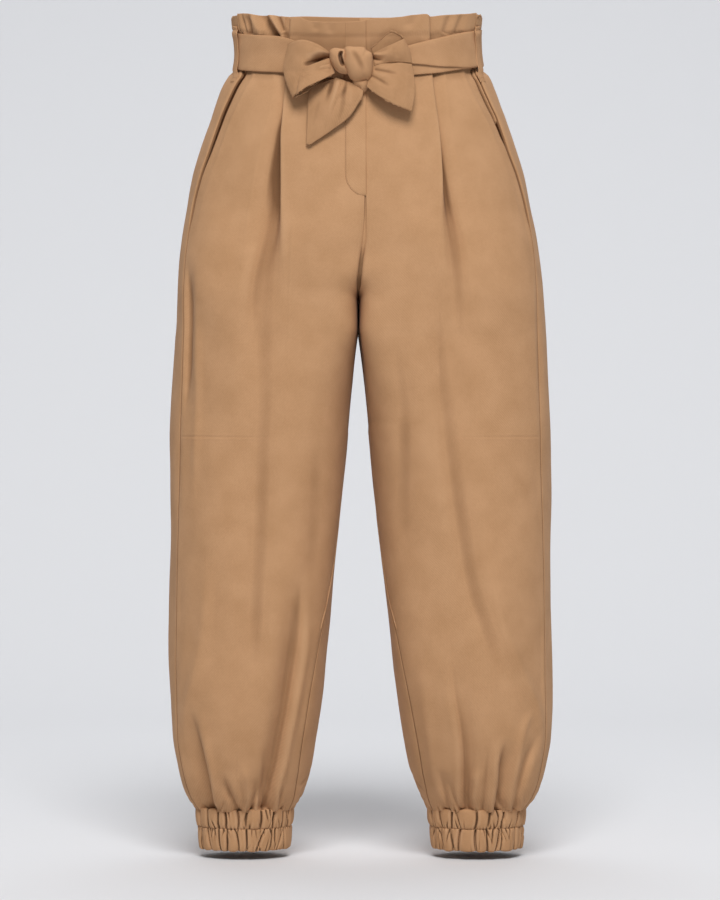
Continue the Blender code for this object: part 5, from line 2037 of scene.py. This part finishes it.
LEFT_PLEAT = (
    Pleat(0.052, 0.0808, 0.012, 0.002, 0.0044, 0.00),
    Pleat(0.015, 0.0820, 0.012, 0.002, 0.0044, 0.00),
    Pleat(-0.030, 0.0855, 0.012, 0.002, 0.0044, 0.00),
    Pleat(-0.070, 0.0900, 0.012, 0.002, 0.0046, 0.00),
    Pleat(-0.088, 0.0920, 0.010, 0.004, 0.0066, 0.22),
    Pleat(-0.112, 0.0940, 0.007, 0.006, 0.0092, 0.50),
    Pleat(-0.150, 0.0965, 0.004, 0.009, 0.0112, 0.80),
    Pleat(-0.190, 0.1000, 0.001, 0.013, 0.0115, 0.95),
    Pleat(-0.240, 0.1040, 0.000, 0.018, 0.0090, 1.00),
    Pleat(-0.330, 0.1050, 0.000, 0.026, 0.0040, 1.00),
    Pleat(-0.450, 0.1050, 0.000, 0.036, 0.0030, 1.00),
    Pleat(-0.600, 0.1120, 0.000, 0.042, 0.0010, 1.00),
    Pleat(-0.720, 0.1160, 0.000, 0.042, 0.0000, 1.00),
)
RIGHT_RIM = (
    (-0.1555, 0.0440), (-0.1530, 0.0468), (-0.1495, 0.0482), (-0.1440, 0.0482), (-0.1160, 0.0430),
    (-0.1010, 0.0419), (-0.0920, 0.0400), (-0.0835, 0.0393), (-0.0815, 0.0370), (-0.0780, 0.0378),
    (-0.0718, 0.0385), (-0.0685, 0.0375), (-0.0640, 0.0347), (-0.0520, 0.0325), (-0.0380, 0.0317),
    (-0.0120, 0.0314), (0.0060, 0.0326),
)
LEFT_RIM = (
    (0.0, 0.0330), (0.0055, 0.0340), (0.0438, 0.0375), (0.0660, 0.0411), (0.0770, 0.0421), (0.0795, 0.0415),
    (0.0812, 0.0398), (0.0933, 0.0415), (0.1280, 0.0467), (0.1350, 0.0488), (0.1400, 0.0498),
    (0.1435, 0.0485), (0.1465, 0.0445),
)
BELT_CREASES = (
    fold(0.9, (1.4, 2), (57, -8), (70, 1), (80, 6.5), (90, 12), ends=(0.1, 0.5)),
)

RIGHT_HALF = Half(Side.RIGHT, 11, RIGHT_PLEAT, FRONT_RIGHT, BACK_RIGHT, RIGHT_RIM, strip=5.6)
LEFT_HALF = Half(
    Side.LEFT, 23, LEFT_PLEAT, FRONT_LEFT, BACK_LEFT, LEFT_RIM, soften=(-0.130, -0.215),
    gapes=(
        (0.0, 3.0 * MM), (-0.050, 4.4 * MM), (-0.072, 3.4 * MM), (-0.092, 0.5 * MM), (-0.105, 0.2 * MM),
        (-0.215, 0.2 * MM),
    ),
    shut_below=(-0.112, -0.092),
)


# --- Seams and studio ---------------------------------------------------------------------------------


def seam_on(half: Half, lattice: Lattice, places: Sequence[tuple[float, float]], lift: float) -> Array:
    """A line of thread on a front.

    Args:
        half: The half, for the rim.
        lattice: The front's outer face.
        places: Ring heights and lengths from the front seam.
        lift: How far the thread lies off the cloth.

    Returns:
        The points of the line.
    """
    made = []
    for z, s in places:
        push = float(lattice.push_at(z, np.array([s]))[0]) + lift
        made.append(half.let_down(FORM.ring(half.side, round(z, 4)).at(s, push)[0]))
    return np.array(made)


@dataclass(frozen=True)
class RiseTape:
    """The pressed seam allowance inside the rise, from the fly under the fork to the back.

    inside is how far behind the cloth it lies, and drop and raised how it clears the cloth at the fork.
    """

    width: float = 14.0 * MM
    inside: float = 1.4 * MM
    drop: float = 9.0 * MM
    raised: float = 1.6 * MM
    wall: float = 0.5 * MM
    fork: float = -0.2895
    columns: int = 160

    def middle(self, half: Half) -> Array:
        """The line that it follows, down the front seam and up the back one."""
        line = []
        for z in np.linspace(half.top, self.fork, 60):
            point = half.form.ring(half.side, z).at(0.0, -self.inside)[0]
            height = half.settle(Face.FRONT, point[:1] + 4.0 * MM, point[2:])[0]
            line.append((point[0], point[1], height + 0.3 * MM * float(smooth(z, 0.03, 0.05))))
        for z in np.linspace(self.fork, half.top, 60)[1:]:
            ring = half.form.ring(half.side, z)
            point = ring.at(ring.total, -self.inside)[0]
            line.append((point[0], point[1], half.settle(Face.BACK, point[:1], point[2:])[0]))
        path = thread(line, self.columns, even=True)
        path[:, 0] = [half.form.ring(half.side, z).level.seam for z in path[:, 2]]
        path[:, 1] += self.drop * smooth(path[:, 2], -0.228, -0.262) * np.sign(-path[:, 1])
        path[:, 2] += self.raised * smooth(path[:, 2], -0.150, -0.230)
        return path

    def build(self, half: Half) -> bpy.types.Object:
        """Makes the strip, with half the right half."""
        path = self.middle(half)
        across = np.linspace(-self.width / 2, self.width / 2, 7)
        points = np.array([path + (x, 0, 0) for x in across])
        weave = np.stack(np.meshgrid(across, 3.0 * MM * np.arange(self.columns), indexing="ij"), axis=2)
        return grid_piece("rise_seam_allowance", points, weave, True, wall=self.wall)


@dataclass(frozen=True)
class Studio:
    """A pale sweep behind and under the garment, a broad soft key above the camera and a wash on the sweep.

    bend is the radius with which the floor turns up into the wall. Each light has its place, its size and
    its power in watts.
    """

    floor_z: float = -0.9500
    front_y: float = -6.0
    wall_y: float = 3.60
    wall_top: float = 5.0
    bend: float = 1.60
    width: float = 16.0
    paper: str = "#DEDFE2"
    key_at: tuple[float, float, float] = (0.3, -5.6, 5.85)
    key_aim: tuple[float, float, float] = (0.0, 0.0, -0.45)
    key_size: float = 3.6
    key_power: float = 615.0
    wash_at: tuple[float, float, float] = (0.0, 2.4, 4.4)
    wash_aim: tuple[float, float, float] = (0.0, 2.1, -0.95)
    wash_size: float = 4.0
    wash_power: float = 84.0
    room_strength: float = 0.20
    camera_at: tuple[float, float, float] = (-0.0006, -4.0, -0.467)
    lens: float = 134.45
    sensor: float = 36.0

    def backdrop(self) -> bpy.types.Object:
        """Makes the sweep, a floor that bends up into a wall."""
        turn = np.linspace(0, math.pi / 2, 17)
        across = self.wall_y - self.bend + self.bend * np.sin(turn)
        height = self.floor_z + self.bend * (1 - np.cos(turn))
        profile = [(self.front_y, self.floor_z), *zip(across, height), (self.wall_y, self.wall_top)]
        points = np.array([[(x, y, z) for x in (-self.width / 2, self.width / 2)] for y, z in profile])
        mesh = grid_mesh("sweep", *points.shape[:2])
        mesh.vertices.foreach_set("co", points.reshape(-1).astype(np.float32))
        mesh.update()
        sweep = finish_piece("sweep", mesh)
        material = bpy.data.materials.new("matt paper")
        material.use_nodes = True
        shader = material.node_tree.nodes["Principled BSDF"]
        shader.inputs["Base Color"].default_value = linear(self.paper)
        shader.inputs["Roughness"].default_value = 0.95
        mesh.materials.append(material)
        return sweep

    def light(self, name: str, at: Vector, aim: Vector, size: float, power: float) -> bpy.types.Object:
        """Adds an area light.

        Args:
            name: Its name.
            at: Where it stands.
            aim: What it points at.
            size: The length of its side.
            power: Its power in watts.

        Returns:
            The light.
        """
        data = bpy.data.lights.new(name, "AREA")
        data.size = size
        data.energy = power
        lamp = bpy.data.objects.new(name, data)
        lamp.location = at
        lamp.rotation_euler = (aim - at).to_track_quat("-Z", "Y").to_euler()
        bpy.context.scene.collection.objects.link(lamp)
        return lamp

    def build(self) -> None:
        """Sets up the backdrop, the lights, the camera and plain colours."""
        scene = bpy.context.scene
        self.backdrop()
        self.light("key", Vector(self.key_at), Vector(self.key_aim), self.key_size, self.key_power)
        self.light("sweep wash", Vector(self.wash_at), Vector(self.wash_aim), self.wash_size, self.wash_power)
        world = bpy.data.worlds.new("soft room")
        world.use_nodes = True
        background = world.node_tree.nodes["Background"]
        background.inputs["Color"].default_value = (1.0, 1.0, 1.0, 1.0)
        background.inputs["Strength"].default_value = self.room_strength
        scene.world = world
        data = bpy.data.cameras.new("camera")
        data.lens = self.lens
        data.sensor_width = self.sensor
        camera = bpy.data.objects.new("camera", data)
        camera.location = self.camera_at
        camera.rotation_euler = (math.pi / 2, 0.0, 0.0)
        scene.collection.objects.link(camera)
        scene.camera = camera
        scene.view_settings.view_transform = "Standard"


def clear_startup() -> None:
    """Removes the cube, light and camera that Blender starts with."""
    for name in ("Cube", "Light", "Camera"):
        found = bpy.data.objects.get(name)
        if found is not None:
            bpy.data.objects.remove(found, do_unlink=True)


def build_half(half: Half) -> Lattice:
    """Builds one side of the garment.

    Args:
        half: The half.

    Returns:
        The outer face of its front, which the fly lies on.
    """
    word = half.side.word
    log.info("The %s half", word)
    front, lattice = half.panel(Face.FRONT)
    back, _ = half.panel(Face.BACK)
    facing = half.facing()
    dress(front, CREPE, f"front_{word}")
    dress(back, CREPE, f"back_{word}")
    dress(facing, CREPE, f"pocket_facing_{word}")
    strap, strap_seams = Carrier(half.side).build(Belt().centre)
    dress(strap, DOUBLED, f"belt_carrier_{word}")
    dress(strap_seams, THREAD)
    cuff, cuff_seam = Cuff(half.side, 40 + half.side.value).build()
    dress(cuff, GATHERED, f"cuff_{word}")
    dress(cuff_seam, THREAD)
    heights = np.arange(-0.030, -0.235, -0.002)
    mouth = [(z, FORM.ring(half.side, z).side_seam - half.gape(z) - 2.8 * MM) for z in heights]
    seam = stitches(f"pocket_stitches_{word}", [seam_on(half, lattice, mouth, 0.05 * MM)], 3.2 * MM)
    dress(seam, THREAD)
    return lattice


def build_bow() -> None:
    """Builds the bow's loops and ends, and the turns of its knot."""
    log.info("The bow")
    for cloth, node, width in (
        (BOW_RIGHT, "bow_loop_right", 0.12), (LOOP_TURN, "", 0.026), (BOW_LEFT, "bow_loop_left", 0.055),
        (TIE_RIGHT, "tie_end_right", 0.080), (TIE_LEFT, "tie_end_left", 0.055),
    ):
        piece = dress(cloth.build(), TIED, *((node,) if node else ()))
    for index, (pillow, flat) in enumerate(zip(KNOT, ((0.023, 0.032), (0.037, 0.044), (0.022, 0.018)))):
        piece = dress(pillow.build(), DOUBLED, *(("bow_knot",) if index == 0 else ()))


def main() -> None:
    """Builds the garment, piece by piece, then its studio."""
    logging.basicConfig(level=logging.INFO, format="%(message)s")
    clear_startup()
    fronts = {half.side: build_half(half) for half in (RIGHT_HALF, LEFT_HALF)}
    tape = dress(RiseTape().build(RIGHT_HALF), CREPE)
    fly = Fly()
    overlap = dress(fly.build(RIGHT_HALF, fronts), CREPE, "fly_placket")
    curve = dress(stitches("fly_stitches", [fly.curve(RIGHT_HALF, fronts)], 2.8 * MM), THREAD)
    belt = dress(Belt().build(BELT_CREASES, 51), DOUBLED, "belt_band")
    layer = dress(Belt().upper_layer(), DOUBLED)
    build_bow()
    Studio().build()


if __name__ == "__main__":
    main()
